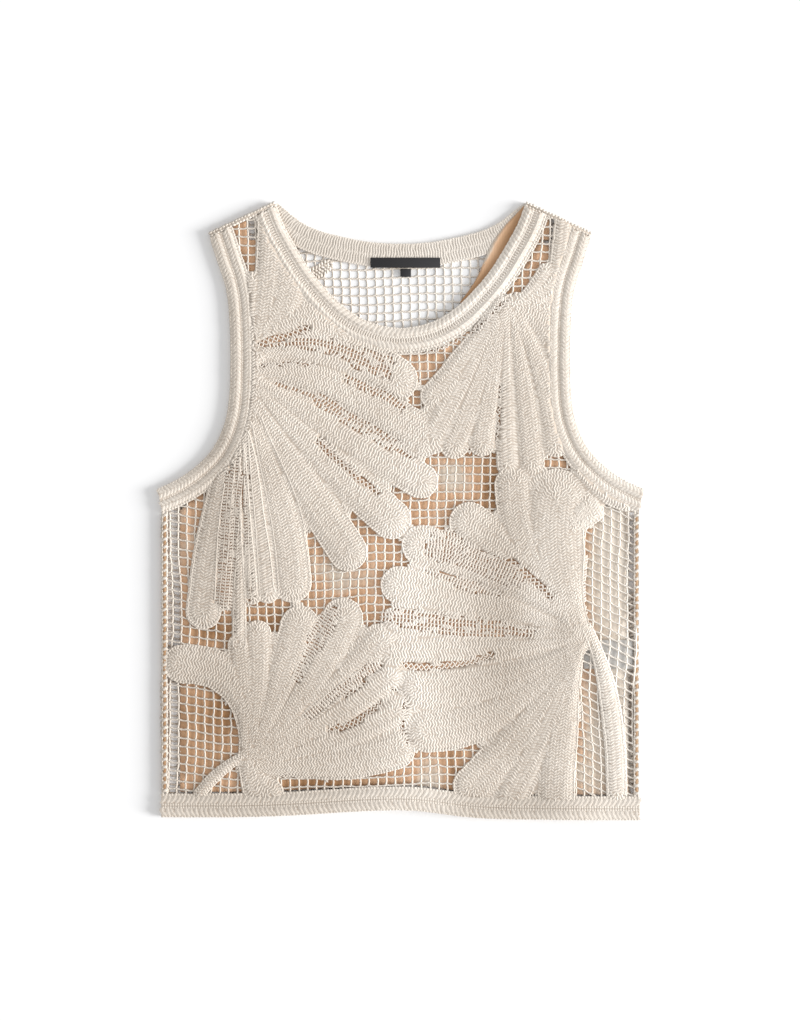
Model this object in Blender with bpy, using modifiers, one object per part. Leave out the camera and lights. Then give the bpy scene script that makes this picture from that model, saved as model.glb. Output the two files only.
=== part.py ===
"""A crochet top, laid flat on its back.

The hem runs along X, the neck points to +Y and +Z is up, out of the front. Sizes are in millimetres
from the middle of the hem, and `place` turns them to metres about the middle of the garment.
Layers from the surface up: back panel and back bands, lining, front panel and front bands.
"""

import math

import bmesh
import bpy
import numpy as np
from mathutils import Matrix, Vector
from mathutils.geometry import delaunay_2d_cdt

MM = 0.001

# Cut of the garment.
LENGTH = 574.6  # rounded corner of the shoulder seam at the neck to the lowest point of the hem
HALF_SIDE = 221.5  # half the width below the arms
HALF_HEM = 222.5  # half the width of the hem band
NECKBAND_WIDTH = 21.5
ARMBAND_WIDTH = 22.5
HEM_WIDTH = 21.0
SEAM_WIDTH = 4.0  # joining row at the sides and shoulders
GAP = 0.3  # between pieces at a seam
LINING_SHORT = 12.0  # the lining ends this far inside the side seams
LINING_TRIM = 2.0  # and this far inside the neckband and the hem band
SIDE_SLACK = 1.5  # the side seams end clear of the slanted band ends
CORNER_CLEAR = 3.0  # a panel's armhole edge has no point nearer to its side than this

# Heights of the layers.
BACK_WALL = 1.8
LINING_BASE = BACK_WALL + GAP
LINING_WALL = 1.0
FRONT_BASE = LINING_BASE + LINING_WALL + GAP
FRONT_WALL = 1.5
BAND_WALL = 3.0  # on the ribs
BAND_EDGE = 1.7  # at a band's two edges
BAND_GROOVE = 2.1  # between the ribs
BACK_BAND_WALL = FRONT_BASE - GAP
SEAM_WALL = FRONT_BASE + 2.4  # about as high as the ribs beside it
LEAF_RISE = 0.5  # edge of a leaf above the net
LEAF_CROWN = 0.9  # more at its middle
CROWN_STEEP = 1.6  # how fast the crown is reached from the edge
LINING_SHARE = 0.5  # of the front's folds that the lining follows

# Labels.
LABEL_SIZE = (65.0, 9.5, 1.0)
LABEL_PLACE = (4.5, 518.3)
TAB_SIZE = (10.0, 7.5, 1.0)
TAB_PLACE = (4.8, 509.0)
CARE_SIZE = (46.0, 27.0, 1.0)
CARE_PLACE = (193.0, 154.0)
CARE_LIFT = 1.5  # of the front over the care label
CARE_UNDER_FRONT = (10.0, 14.0)  # margin round the label that is lifted, and the fade beyond it
CARE_ON_LINING = (26.0, 24.0)  # margin where the lining stays flat under it, and the fade

# Edges of the right half (x, y), from the centre line or the shoulder outwards.
FRONT_NECK = [(0, 457.5), (28, 462.5), (50, 475), (67, 491), (83, 510), (97, 532), (109, 554), (117, 575)]
BACK_NECK = [(0, 535.7), (30, 537.5), (60, 543.5), (80, 549.5), (94, 557), (106, 566.5), (117, 575)]
ARMHOLE = [
    (178.5, 546),
    (170.5, 521),
    (162, 494),
    (158.7, 465),
    (157.8, 425),
    (159, 392),
    (163.5, 368),
    (173, 347),
    (184, 334),
    (197, 323),
    (210, 315),
    (226, 307.5),
]
NECK_POINT, SHOULDER_POINT = Vector(FRONT_NECK[-1]), Vector(ARMHOLE[0])
SIDE_END = Vector((-4.0, -20.4)).normalized()  # the armhole band's end runs down the side
END_TURN = 18.0  # length over which a band turns to its end's direction

# The hem rises in a soft wave: height and width of it, and the tilt from corner to corner.
HEM_WAVE, HEM_WAVE_X = 8.0, 2.0
HEM_WAVE_LEFT, HEM_WAVE_RIGHT = 95.0, 50.0
HEM_TILT = 2.8

# Soft folds of the front: from (x, y) to (x, y), height, half width.
FOLDS = [
    ((0, 0), (-8, 250), 1.6, 42),
    ((158, 0), (150, 285), 1.9, 30),
    ((-166, 170), (-152, 350), 1.3, 11),
    ((-139, 190), (-140, 360), 1.0, 9),
    ((-70, 320), (70, 335), 1.2, 60),
    ((92, 465), (122, 545), 1.6, 26),
    ((-92, 465), (-122, 545), 0.8, 26),
    ((-60, 130), (-165, 60), 0.9, 24),
]
EDGE_CALM = 30.0  # the folds die out over this distance from the sides

# Leaf fans of the front, by their lobes:
# root x, y, middle x, y, tip x, y, half width, share of that width at the root.
FANS = {
    "upper_left": [
        (-139, 435, -77, 441, 13, 398, 21.4, 0.45),
        (-137, 418, -70, 407, 38, 346, 18.6, 0.4),
        (-134, 409, -65, 365, 33, 307, 16.7, 0.35),
        (-134, 402, -85, 351, 5, 267, 19.1, 0.32),
        (-136, 389, -102, 333, -39, 234, 18.6, 0.5),
    ],
    "left": [
        (-157, 372, -174, 265, -185, 178, 16, 0.5),
        (-152, 360, -160, 280, -164, 195, 9, 0.5),
        (-150, 365, -150, 270, -150, 158, 6, 0.7),
        (-146, 365, -142, 279, -137, 201, 7, 0.6),
        (-143, 366, -130, 279, -123, 202, 10.2, 0.55),
        (-137, 372, -112, 293, -100, 203, 17.7, 0.45),
    ],
    "right": [
        (170, 177, 120, 231, 48, 288, 19.5, 0.3),
        (169, 175, 98, 226, 1, 260, 19.1, 0.3),
        (168, 173, 74, 203, -19, 221, 17.7, 0.28),
        (168, 171, 74, 179, -19, 186, 13.0, 0.35),
        (168, 169, 74, 157, -23, 155, 14.9, 0.35),
        (168, 167, 93, 128, -2, 126, 19.5, 0.3),
        (168, 166, 97, 105, 5, 82, 20.5, 0.3),
        (168, 166, 124, 95, 54, 17, 20.5, 0.28),
        (168, 165, 136, 92, 95, 7, 16.7, 0.3),
        (168, 164, 150, 91, 145, 2, 17.7, 0.3),
    ],
    "lower_left": [
        (-140, 56, -151, 123, -221, 145, 18.6, 0.6),
        (-142, 58, -146, 119, -151, 174, 11.2, 0.6),
        (-140, 59, -133, 123, -134, 186, 13, 0.55),
        (-138, 59, -111, 126, -89, 199, 18.6, 0.4),
        (-136, 58, -87, 121, -47, 206, 19.5, 0.4),
        (-134, 56, -68, 113, -8, 179, 18.6, 0.35),
        (-133, 54, -67, 93, 0, 141, 15.8, 0.35),
        (-133, 52, -66, 73, 10, 108, 16.7, 0.3),
        (-133, 49, -61, 54, 13, 71, 18.6, 0.45),
        (-138, 48, -133, 32, -109, 19, 15.8, 0.8),
    ],
    "under_arm": [
        (171, 167, 122, 240, 104, 329, 17.7, 0.5),
        (171, 169, 145, 236, 150, 327, 29.8, 0.35),
        (159, 275, 171, 285, 187, 295, 14.0, 0.8),
        (165, 325, 187, 304, 216, 292, 6.5, 0.8),
    ],
    "upper_right": [
        (93, 482, 61, 430, 22, 385, 14, 0.5),
        (95, 482, 58, 409, 23, 342, 15.8, 0.4),
        (97, 480, 70, 400, 44, 337, 14, 0.4),
        (98, 478, 83, 400, 74, 338, 12.1, 0.45),
        (100, 476, 98, 400, 100, 321, 10.2, 0.45),
        (103, 476, 115, 400, 123, 321, 12.1, 0.45),
        (106, 476, 133, 409, 145, 337, 13, 0.5),
    ],
    "right_shoulder": [
        (106, 478, 134, 491, 154, 525, 12.1, 0.7),
        (107, 476, 141, 456, 167, 372, 18.6, 0.8),
        (134, 474, 151, 409, 171, 339, 13, 0.7),
        (140, 440, 146, 500, 153.5, 566, 9.3, 0.9),
    ],
    "left_shoulder": [
        (-133, 435, -124, 493, -120, 572, 13, 0.9),
        (-138, 439, -107, 484, -107, 547, 18.6, 0.8),
        (-136, 442, -93, 460, -45, 442, 20.5, 0.8),
        (-142, 484, -138, 409, -149, 353, 11.2, 0.9),
        (-139, 435, -140, 469, -136, 510, 8.4, 0.9),
    ],
    "side_leaf": [
        (174, 177, 194, 112, 201, 17, 9.3, 0.5),
    ],
    "stalk": [(-149, 58, -170, 43, -190, 20, 5.6, 0.8)],
}
LOBE_FULL = 0.65  # where along its length it is full
LOBE_STEPS = 24

# Spacing of the points that the shapes are made from.
BAND_STEP = 11.0
OUTLINE_STEP = 10.0
SIDE_STEP = 16.0
RELIEF_STEP = 9.0
FLOOR_STEP = 18.0  # under the relief
PLAIN_STEP = 26.0
RIM_CLEAR = 0.55  # share of a step that inner points keep from an outline
CURVE_FINE = 1.0


def smooth_step(t):
    t = np.clip(t, 0, 1)
    return t * t * (3 - 2 * t)


def hem_y(x):
    """Lower edge of the garment."""
    spread = HEM_WAVE_LEFT if x < HEM_WAVE_X else HEM_WAVE_RIGHT
    return HEM_WAVE * math.exp(-(((x - HEM_WAVE_X) / spread) ** 2)) + HEM_TILT * (0.5 - x / (2 * HALF_HEM))


def lift(x, y):
    """How far the folds raise the front at (x, y)."""
    total = 0.0
    for (x1, y1), (x2, y2), height, width in FOLDS:
        run = Vector((x2 - x1, y2 - y1))
        along = max(0.0, min(1.0, Vector((x - x1, y - y1)).dot(run) / run.length_squared))
        away = math.hypot(x - x1 - along * run.x, y - y1 - along * run.y)
        total += height * math.exp(-((away / width) ** 2))
    return total * float(smooth_step((HALF_SIDE - abs(x)) / EDGE_CALM))


def over_care_label(x, y, margin, fade):
    """1 over the care label and a margin round it, down to 0 over the fade."""
    off_x = max(0.0, abs(x - CARE_PLACE[0]) - CARE_SIZE[0] / 2 - margin)
    off_y = max(0.0, abs(y - CARE_PLACE[1]) - CARE_SIZE[1] / 2 - margin)
    return float(smooth_step(1 - off_x / fade)) * float(smooth_step(1 - off_y / fade))


def lobe_discs(numbers):
    """A lobe as discs along its curved midline: centres (x, y) and radii."""
    root, middle, tip = (np.array(numbers[i : i + 2], float) for i in (0, 2, 4))
    half_width, root_share = numbers[6:]
    bend = 2 * middle - (root + tip) / 2
    tip = tip - (tip - bend) / np.linalg.norm(tip - bend) * half_width
    bend = 2 * middle - (root + tip) / 2
    t = np.linspace(0, 1, LOBE_STEPS)[:, None]
    centres = (1 - t) ** 2 * root + 2 * t * (1 - t) * bend + t**2 * tip
    radii = half_width * (root_share + (1 - root_share) * smooth_step(t[:, 0] / LOBE_FULL))
    return centres, radii


LOBES = [lobe_discs(numbers) for lobes in FANS.values() for numbers in lobes]


def leaf_rise(x, y):
    """Height of the leaf relief over the net at (x, y)."""
    depth = 0.0
    for centres, radii in LOBES:
        away = np.hypot(centres[:, 0] - x, centres[:, 1] - y)
        depth = max(depth, float((1 - away / radii).max()))
    if depth <= 0:
        return 0.0
    return LEAF_RISE + LEAF_CROWN * float(smooth_step(depth * CROWN_STEEP))


def curve_through(points, spacing):
    """Points at even spacing along a smooth curve through the given ones."""
    ends = [2 * Vector(points[0]) - Vector(points[1]), 2 * Vector(points[-1]) - Vector(points[-2])]
    p = [ends[0], *(Vector(q) for q in points), ends[1]]
    fine = []
    for i in range(1, len(p) - 2):
        steps = max(4, int((p[i + 1] - p[i]).length / CURVE_FINE))
        for k in range(steps):
            t = k / steps
            fine.append(
                0.5
                * (
                    2 * p[i]
                    + (p[i + 1] - p[i - 1]) * t
                    + (2 * p[i - 1] - 5 * p[i] + 4 * p[i + 1] - p[i + 2]) * t**2
                    + (3 * p[i] - p[i - 1] - 3 * p[i + 1] + p[i + 2]) * t**3
                )
            )
    fine.append(p[-2])
    run = [0.0]
    for a, b in zip(fine, fine[1:]):
        run.append(run[-1] + (b - a).length)
    count = max(2, round(run[-1] / spacing)) + 1
    wanted = np.linspace(0, run[-1], count)
    xs = np.interp(wanted, run, [q.x for q in fine])
    ys = np.interp(wanted, run, [q.y for q in fine])
    return [Vector((x, y)) for x, y in zip(xs, ys)]


def mirrored(points):
    """The left half's points, so that both halves run on in one line."""
    return [Vector((-p[0], p[1])) for p in reversed(points)]


def trimmed(points, distance):
    """The points without a length at the start, where the shoulder seam lies."""
    points = [Vector(p) for p in points]
    first = (points[1] - points[0]).normalized()
    return [points[0] + first * distance, *points[1:]]


class Edge:
    """An edge of the garment that a band follows: points on it and the way in from each."""

    def __init__(self, points, start_way, end_way):
        self.points = curve_through(points, BAND_STEP)
        run = np.cumsum([0.0] + [(b - a).length for a, b in zip(self.points, self.points[1:])])
        self.ways = []
        for i, point in enumerate(self.points):
            before, after = self.points[max(i - 1, 0)], self.points[min(i + 1, len(self.points) - 1)]
            tangent = (after - before).normalized()
            way = Vector((tangent.y, -tangent.x))
            for end, distance in ((start_way, run[i]), (end_way, run[-1] - run[i])):
                share = 1 - float(smooth_step(distance / END_TURN))
                way = way.lerp(end, share).normalized() if end else way
            self.ways.append(way)

    def line(self, inward):
        return [p + way * inward for p, way in zip(self.points, self.ways)]


def seam_trim(edge_start, edge_next):
    """How far along an edge its band starts, to leave room for the shoulder seam."""
    along = (edge_next - edge_start).normalized()
    return (SEAM_WIDTH + GAP) / abs(along.dot(SHOULDER_NORMAL))


SHOULDER_WAY = (SHOULDER_POINT - NECK_POINT).normalized()
SHOULDER_NORMAL = Vector((-SHOULDER_WAY.y, SHOULDER_WAY.x))


def neck_edge(half):
    """Whole neck edge from the left shoulder to the right one."""
    half = [Vector(p) for p in half]
    half[-1] = half[-1] + (half[-2] - half[-1]).normalized() * seam_trim(half[-1], half[-2])
    whole = mirrored(half[1:]) + half
    left_way = Vector((-SHOULDER_WAY.x, SHOULDER_WAY.y))
    return Edge(whole, left_way, SHOULDER_WAY)


def armhole_edge():
    start, after = Vector(ARMHOLE[0]), Vector(ARMHOLE[1])
    return Edge(trimmed(ARMHOLE, seam_trim(start, after)), -SHOULDER_WAY, SIDE_END)


FRONT_NECK_EDGE = neck_edge(FRONT_NECK)
BACK_NECK_EDGE = neck_edge(BACK_NECK)
ARMHOLE_EDGE = armhole_edge()


def place(x, y, z):
    """Garment millimetres to metres about the middle of the garment."""
    return Vector((x, y - LENGTH / 2, z)) * MM


def material(name, colour, roughness):
    made = bpy.data.materials.new(name)
    made.use_nodes = True
    shader = made.node_tree.nodes["Principled BSDF"]
    shader.inputs["Base Color"].default_value = (*colour, 1)
    shader.inputs["Roughness"].default_value = roughness
    made.diffuse_color = (*colour, 1)
    return made


def add_object(name, body, finish):
    """A bmesh as a named object of the garment."""
    bmesh.ops.recalc_face_normals(body, faces=body.faces)
    mesh = bpy.data.meshes.new(name)
    body.to_mesh(mesh)
    body.free()
    mesh.materials.append(finish)
    made = bpy.data.objects.new(name, mesh)
    garment.objects.link(made)
    return made


def band(name, outer, inner, profile, base, finish):
    """A ribbed band lofted between two lines through sections.

    profile has (share of the width, height) from the outer edge to the inner one.
    base gives the height of the band's underside at (x, y).
    """
    body = bmesh.new()
    rings = []
    for a, b in zip(outer, inner):
        ring = []
        for share, height in [*profile, (1, 0.0), (0, 0.0)]:
            spot = a.lerp(b, share)
            ring.append(body.verts.new(place(spot.x, spot.y, base(spot.x, spot.y) + height)))
        rings.append(ring)
    for ring, after in zip(rings, rings[1:]):
        for k in range(len(ring)):
            n = (k + 1) % len(ring)
            body.faces.new((ring[k], ring[n], after[n], after[k]))
    body.faces.new(rings[0])
    body.faces.new(reversed(rings[-1]))
    return add_object(name, body, finish)


def inside(point, outline):
    hit = False
    for a, b in zip(outline, outline[1:] + outline[:1]):
        if (a.y > point.y) != (b.y > point.y):
            if point.x < a.x + (point.y - a.y) * (b.x - a.x) / (b.y - a.y):
                hit = not hit
    return hit


def clear_of(point, outline, distance):
    for a, b in zip(outline, outline[1:] + outline[:1]):
        side = b - a
        along = max(0.0, min(1.0, (point - a).dot(side) / side.length_squared))
        if (point - a - side * along).length < distance:
            return False
    return True


def filled(outline, spacing):
    """Points and triangles of an outline, with an even field of points inside it."""
    points = list(outline)
    row_height = spacing * math.sqrt(3) / 2
    low_x, low_y = min(p.x for p in outline), min(p.y for p in outline)
    high_x, high_y = max(p.x for p in outline), max(p.y for p in outline)
    for row in range(int((high_y - low_y) / row_height) + 1):
        for column in range(int((high_x - low_x) / spacing) + 1):
            spot = Vector((low_x + (column + row % 2 / 2) * spacing, low_y + row * row_height))
            if inside(spot, outline) and clear_of(spot, outline, RIM_CLEAR * spacing):
                points.append(spot)
    sides = [(i, (i + 1) % len(outline)) for i in range(len(outline))]
    found, _, faces, _, _, _ = delaunay_2d_cdt(points, sides, [], 1, 1e-6)
    if len(found) != len(points):
        raise ValueError("the outline crosses itself")
    return found, faces


def sheet(name, outline, top, bottom, top_step, bottom_step, finish):
    """A cloth wall inside an outline, from its underside to its upper side."""
    body = bmesh.new()
    rims = []
    for height, step in ((top, top_step), (bottom, bottom_step)):
        points, faces = filled(outline, step)
        made = [body.verts.new(place(p.x, p.y, height(p.x, p.y))) for p in points]
        for face in faces:
            body.faces.new([made[i] for i in face])
        rims.append(made[: len(outline)])
    upper, lower = rims
    for i in range(len(outline)):
        n = (i + 1) % len(outline)
        body.faces.new((upper[i], upper[n], lower[n], lower[i]))
    return add_object(name, body, finish)


def block(name, size, centre, turn, finish, round_off=0.0):
    """A flat box with softened edges, for a label or a seam. centre is (x, y, height of its underside)."""
    bpy.ops.mesh.primitive_cube_add(size=1)
    made = bpy.context.active_object
    made.name = made.data.name = name
    x, y, base = centre
    box = Matrix.Translation(place(x, y, base + size[2] / 2)) @ Matrix.Rotation(turn, 4, "Z")
    made.data.transform(box @ Matrix.Diagonal((*(Vector(size) * MM), 1)))
    made.data.materials.append(finish)
    for owner in list(made.users_collection):
        owner.objects.unlink(made)
    garment.objects.link(made)
    if round_off:
        bevel = made.modifiers.new("Softened edges", "BEVEL")
        bevel.width = round_off * MM
        bevel.segments = 1
    return made


def front_floor(x, y):
    return FRONT_BASE + lift(x, y) + CARE_LIFT * over_care_label(x, y, *CARE_UNDER_FRONT)


def front_top(x, y):
    return front_floor(x, y) + FRONT_WALL + leaf_rise(x, y)


def lining_floor(x, y):
    return LINING_BASE + LINING_SHARE * lift(x, y) * (1 - over_care_label(x, y, *CARE_ON_LINING))


def lining_top(x, y):
    return lining_floor(x, y) + LINING_WALL


def level(height):
    return lambda x, y: height


RIBBED = [(0, BAND_EDGE), (0.24, BAND_WALL), (0.5, BAND_GROOVE), (0.76, BAND_WALL), (1, BAND_EDGE)]
PLAIN = [(0, BACK_BAND_WALL), (1, BACK_BAND_WALL)]


def panel_outline(neck, neck_width, half_side, hem_gap):
    """Outline of a body panel inside its bands, anticlockwise from the left end of the hem."""
    xs = np.linspace(-half_side, half_side, round(2 * half_side / OUTLINE_STEP) + 1)
    hem = [Vector((x, hem_y(x) + HEM_WIDTH + hem_gap)) for x in xs]
    arm = ARMHOLE_EDGE.line(ARMBAND_WIDTH + GAP)
    arm = [p for p in arm if p.x < half_side - CORNER_CLEAR]
    side_top = ARMHOLE_EDGE.line(ARMBAND_WIDTH + GAP)[-1].y - (HALF_SIDE - SEAM_WIDTH - half_side) * SIDE_END.x
    side_steps = round((side_top - hem[-1].y) / SIDE_STEP)
    right = [Vector((half_side, y)) for y in np.linspace(hem[-1].y, side_top, side_steps + 1)[1:]]
    left = [Vector((-half_side, y)) for y in np.linspace(side_top, hem[0].y, side_steps + 1)[:-1]]
    neck_line = neck.line(neck_width + GAP)
    arm_up = list(reversed(arm))
    return hem + right + arm_up + list(reversed(neck_line)) + mirrored(arm_up) + left


def add_panels():
    half_panel = HALF_SIDE - SEAM_WIDTH - GAP
    back = panel_outline(BACK_NECK_EDGE, NECKBAND_WIDTH, half_panel, GAP)
    front = panel_outline(FRONT_NECK_EDGE, NECKBAND_WIDTH, half_panel, GAP)
    lining = panel_outline(FRONT_NECK_EDGE, NECKBAND_WIDTH + LINING_TRIM, half_panel - LINING_SHORT, GAP + LINING_TRIM)
    sheet("back_panel", back, level(BACK_WALL), level(0.0), PLAIN_STEP, PLAIN_STEP, yarn)
    sheet("lining_front", lining, lining_top, lining_floor, PLAIN_STEP, PLAIN_STEP, jersey)
    sheet("front_panel", front, front_top, front_floor, RELIEF_STEP, FLOOR_STEP, yarn)


def add_bands():
    layers = (("front", FRONT_NECK_EDGE, front_floor, RIBBED), ("back", BACK_NECK_EDGE, level(0.0), PLAIN))
    hem_count = round(2 * HALF_HEM / BAND_STEP) + 1
    hem_line = [Vector((x, hem_y(x))) for x in np.linspace(-HALF_HEM, HALF_HEM, hem_count)]
    hem_top = [p + Vector((0, HEM_WIDTH)) for p in hem_line]
    arm_outer, arm_inner = ARMHOLE_EDGE.line(0), ARMHOLE_EDGE.line(ARMBAND_WIDTH)
    for layer, neck, base, profile in layers:
        band(f"neckband_{layer}", neck.line(0), neck.line(NECKBAND_WIDTH), profile, base, yarn)
        band(f"hem_band_{layer}", hem_line, hem_top, profile, base, yarn)
        band(f"armhole_band_{layer}_right", arm_outer, arm_inner, profile, base, yarn)
        left_outer, left_inner = mirrored(arm_outer), mirrored(arm_inner)
        band(f"armhole_band_{layer}_left", left_outer, left_inner, profile, base, yarn)


def add_seams():
    shoulder = SHOULDER_POINT - NECK_POINT
    middle = (SHOULDER_POINT + NECK_POINT) / 2 - SHOULDER_NORMAL * SEAM_WIDTH / 2
    side_high = ARMHOLE_EDGE.line(ARMBAND_WIDTH + GAP)[-1].y - SIDE_SLACK
    shoulder_size = (shoulder.length, SEAM_WIDTH, SEAM_WALL)
    for side, sign in (("left", -1), ("right", 1)):
        turn = sign * math.atan2(shoulder.y, shoulder.x)
        centre = (sign * middle.x, middle.y, 0.0)
        block(f"shoulder_seam_{side}", shoulder_size, centre, turn, yarn, 1.0)
        side_low = hem_y(sign * HALF_SIDE) + HEM_WIDTH + GAP + SIDE_SLACK
        side_size = (SEAM_WIDTH, side_high - side_low, SEAM_WALL)
        centre = (sign * (HALF_SIDE - SEAM_WIDTH / 2), (side_low + side_high) / 2, 0.0)
        block(f"side_seam_{side}", side_size, centre, 0.0, yarn, 1.0)




def add_labels():
    block("neck_label", LABEL_SIZE, (*LABEL_PLACE, BACK_BAND_WALL + GAP), 0.0, label_cloth)
    block("size_tab", TAB_SIZE, (*TAB_PLACE, BACK_WALL + GAP), 0.0, label_cloth)
    care_base = LINING_BASE + LINING_WALL + GAP
    block("care_label", CARE_SIZE, (*CARE_PLACE, care_base), 0.0, satin)


for old in list(bpy.data.objects):
    bpy.data.objects.remove(old)

garment = bpy.data.collections.new("Crochet top")
bpy.context.scene.collection.children.link(garment)

yarn = material("Cream cotton yarn", (0.75, 0.68, 0.58), 0.9)
jersey = material("Tan jersey", (0.46, 0.27, 0.13), 0.85)
label_cloth = material("Dark woven label", (0.012, 0.01, 0.011), 0.7)
satin = material("Pale satin label", (0.78, 0.76, 0.72), 0.5)

add_panels()
add_bands()
add_seams()
add_labels()
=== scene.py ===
# %% Load the frame
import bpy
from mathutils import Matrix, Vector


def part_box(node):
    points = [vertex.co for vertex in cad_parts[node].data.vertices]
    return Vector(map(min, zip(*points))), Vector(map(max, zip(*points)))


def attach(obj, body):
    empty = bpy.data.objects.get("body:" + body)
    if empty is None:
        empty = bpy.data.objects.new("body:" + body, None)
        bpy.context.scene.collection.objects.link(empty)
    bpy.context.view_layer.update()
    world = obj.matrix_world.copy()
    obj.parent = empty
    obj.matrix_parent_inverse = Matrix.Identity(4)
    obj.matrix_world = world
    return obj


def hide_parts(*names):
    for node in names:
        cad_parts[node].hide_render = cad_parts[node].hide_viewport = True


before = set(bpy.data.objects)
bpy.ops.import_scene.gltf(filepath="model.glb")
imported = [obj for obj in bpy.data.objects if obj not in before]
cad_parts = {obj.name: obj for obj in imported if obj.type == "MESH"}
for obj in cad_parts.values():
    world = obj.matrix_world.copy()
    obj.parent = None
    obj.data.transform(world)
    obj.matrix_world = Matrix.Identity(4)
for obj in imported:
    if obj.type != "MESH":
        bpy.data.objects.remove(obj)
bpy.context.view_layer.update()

# %% [markdown]
# # A crochet top, laid flat
#
# The real top is worked in cotton yarn: an open square net, with big leaf fans of close rows worked into
# it, and ribbed bands round the neck, the arms and the hem. A plain tan jersey lining lies behind the
# front and gives the holes their colour.
#
# Almost all that the eye meets is one thing, a short bent length of yarn, in thousands of places. So the
# script models a few stitches, works out where each one goes, and joins the copies into a mesh
# for each fan, band or net. Sizes are in millimetres: x across from the middle, y up from the hem.

# %% Modules and sizes
import math

import bmesh
import bpy
import numpy as np
from mathutils import Vector
from mathutils.bvhtree import BVHTree

MM = 0.001
LENGTH = 574.6  # hem to shoulder; the frame's origin is at half of it
rng = np.random.default_rng(7)  # one seed, so that every run makes the same top

for thing in bpy.context.selected_objects:
    thing.select_set(False)

# %% [markdown]
# ## Heights from the CAD model
#
# The cloth isn't level: soft folds lift it by a millimetre or two, and the CAD solids already have them.
# A ray sent straight up meets the underside of a solid, and the height there is where its yarn starts.
# A raster of such heights, one value a millimetre, can then be asked about any number of points at once.

# %% Cast rays at the CAD solids
X0, Y0, X1, Y1 = -236, -8, 236, 586  # of every raster, in mm
RAY_LOW, RAY_HIGH = -10, 30  # where rays up and rays down start
grid_x, grid_y = np.meshgrid(np.arange(X0, X1 + 1.0), np.arange(Y0, Y1 + 1.0))


def ray_from(x, y, z):
    """Where a ray starts, as a point of the frame in metres."""
    return Vector((x * MM, (y - LENGTH / 2) * MM, z * MM))


def tree_of(*names):
    """The solids of some CAD nodes as one search tree for rays."""
    points, faces = [], []
    for name in names:
        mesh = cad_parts[name].data
        start = len(points)
        points += [v.co.copy() for v in mesh.vertices]
        faces += [[start + i for i in p.vertices] for p in mesh.polygons]
    return BVHTree.FromPolygons(points, faces)


def undersides(names, every):
    """Height in mm of the lowest surface over each raster point, nan where there is none."""
    tree, up = tree_of(*names), Vector((0, 0, 1))
    found = np.full(grid_x[::every, ::every].shape, np.nan)
    for row, y in enumerate(range(Y0, Y1 + 1, every)):
        for column, x in enumerate(range(X0, X1 + 1, every)):
            hit = tree.ray_cast(ray_from(x, y, RAY_LOW), up)[0]
            if hit is not None:
                found[row, column] = hit.z / MM
    return found


def tops(name, reach):
    """Height in mm of a node's highest surface over each raster point, carried on outward by a reach."""
    tree, down = tree_of(name), Vector((0, 0, -1))
    found = np.full(grid_x.shape, np.nan)
    low, high = (np.array(corner) / MM + (0, LENGTH / 2, 0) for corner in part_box(name))
    for y in range(max(Y0, math.floor(low[1])), min(Y1, math.ceil(high[1])) + 1):
        for x in range(max(X0, math.floor(low[0])), min(X1, math.ceil(high[0])) + 1):
            hit = tree.ray_cast(ray_from(x, y, RAY_HIGH), down)[0]
            if hit is not None:
                found[y - Y0, x - X0] = hit.z / MM
    return spread_out(found, reach)


# %% Fill, smooth and read a raster


def shifted(field, rows, columns):
    """The raster moved over by some points."""
    return np.roll(np.roll(field, rows, 0), columns, 1)


def neighbours(field):
    """The raster as each of its four neighbours sees it."""
    return [shifted(field, r, c) for r, c in ((1, 0), (-1, 0), (0, 1), (0, -1))]


def spread_out(field, reach=200):
    """Fills the nans from their neighbours, ring by ring, so that the map has no edge."""
    field = field.copy()
    for _ in range(reach):
        if not np.isnan(field).any():
            break
        near = np.stack(neighbours(field))
        known = ~np.isnan(near)
        total, count = np.where(known, near, 0).sum(0), known.sum(0)
        fill = np.isnan(field) & (count > 0)
        field[fill] = total[fill] / count[fill]
    return field


def blurred(field, times):
    """A raster whose steps are softened, each time by one more mm."""
    for _ in range(times):
        field = sum(neighbours(field), field) / 5
    return field


def grown(mask, reach):
    """A mask made wider by some mm."""
    out = mask.copy()
    for r in range(-reach, reach + 1):
        for c in range(-reach, reach + 1):
            if 0 < r * r + c * c <= reach * reach:
                out |= shifted(mask, r, c)
    return out


def inner(mask, reach):
    """A mask made narrower by some mm."""
    return mask & ~grown(~mask, reach)


def closed(mask, reach):
    """Narrow gaps between lobes are filled: the mask grows and shrinks back."""
    return ~grown(~grown(mask, reach), reach)


def at(field, x, y):
    """Value of a raster between its points, for arrays of x and y in mm."""
    gx = np.clip(x - X0, 0, field.shape[1] - 1.001)
    gy = np.clip(y - Y0, 0, field.shape[0] - 1.001)
    column, row = gx.astype(int), gy.astype(int)
    fx, fy = gx - column, gy - row
    low = field[row, column] * (1 - fx) + field[row, column + 1] * fx
    high = field[row + 1, column] * (1 - fx) + field[row + 1, column + 1] * fx
    return low * (1 - fy) + high * fy


# %% Measure the cloth
FRONT_NODES = [
    "front_panel", "neckband_front", "hem_band_front", "armhole_band_front_left", "armhole_band_front_right",
]
COARSE = 4  # mm between the rays; the folds are far wider
coarse = spread_out(undersides(FRONT_NODES, COARSE))
rows = np.array([np.interp(grid_x[0], grid_x[0, ::COARSE], line) for line in coarse])
cloth = np.array([np.interp(grid_y[:, 0], grid_y[::COARSE, 0], line) for line in rows.T]).T
front_area = ~np.isnan(undersides(["front_panel"], 1))
back_area = ~np.isnan(undersides(["back_panel"], 1))
print(f"front cloth lies at {cloth.min():.1f} to {cloth.max():.1f} mm")
print(f"panels: front {front_area.sum() / 1e6:.3f}, back {back_area.sum() / 1e6:.3f} square metres")

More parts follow.
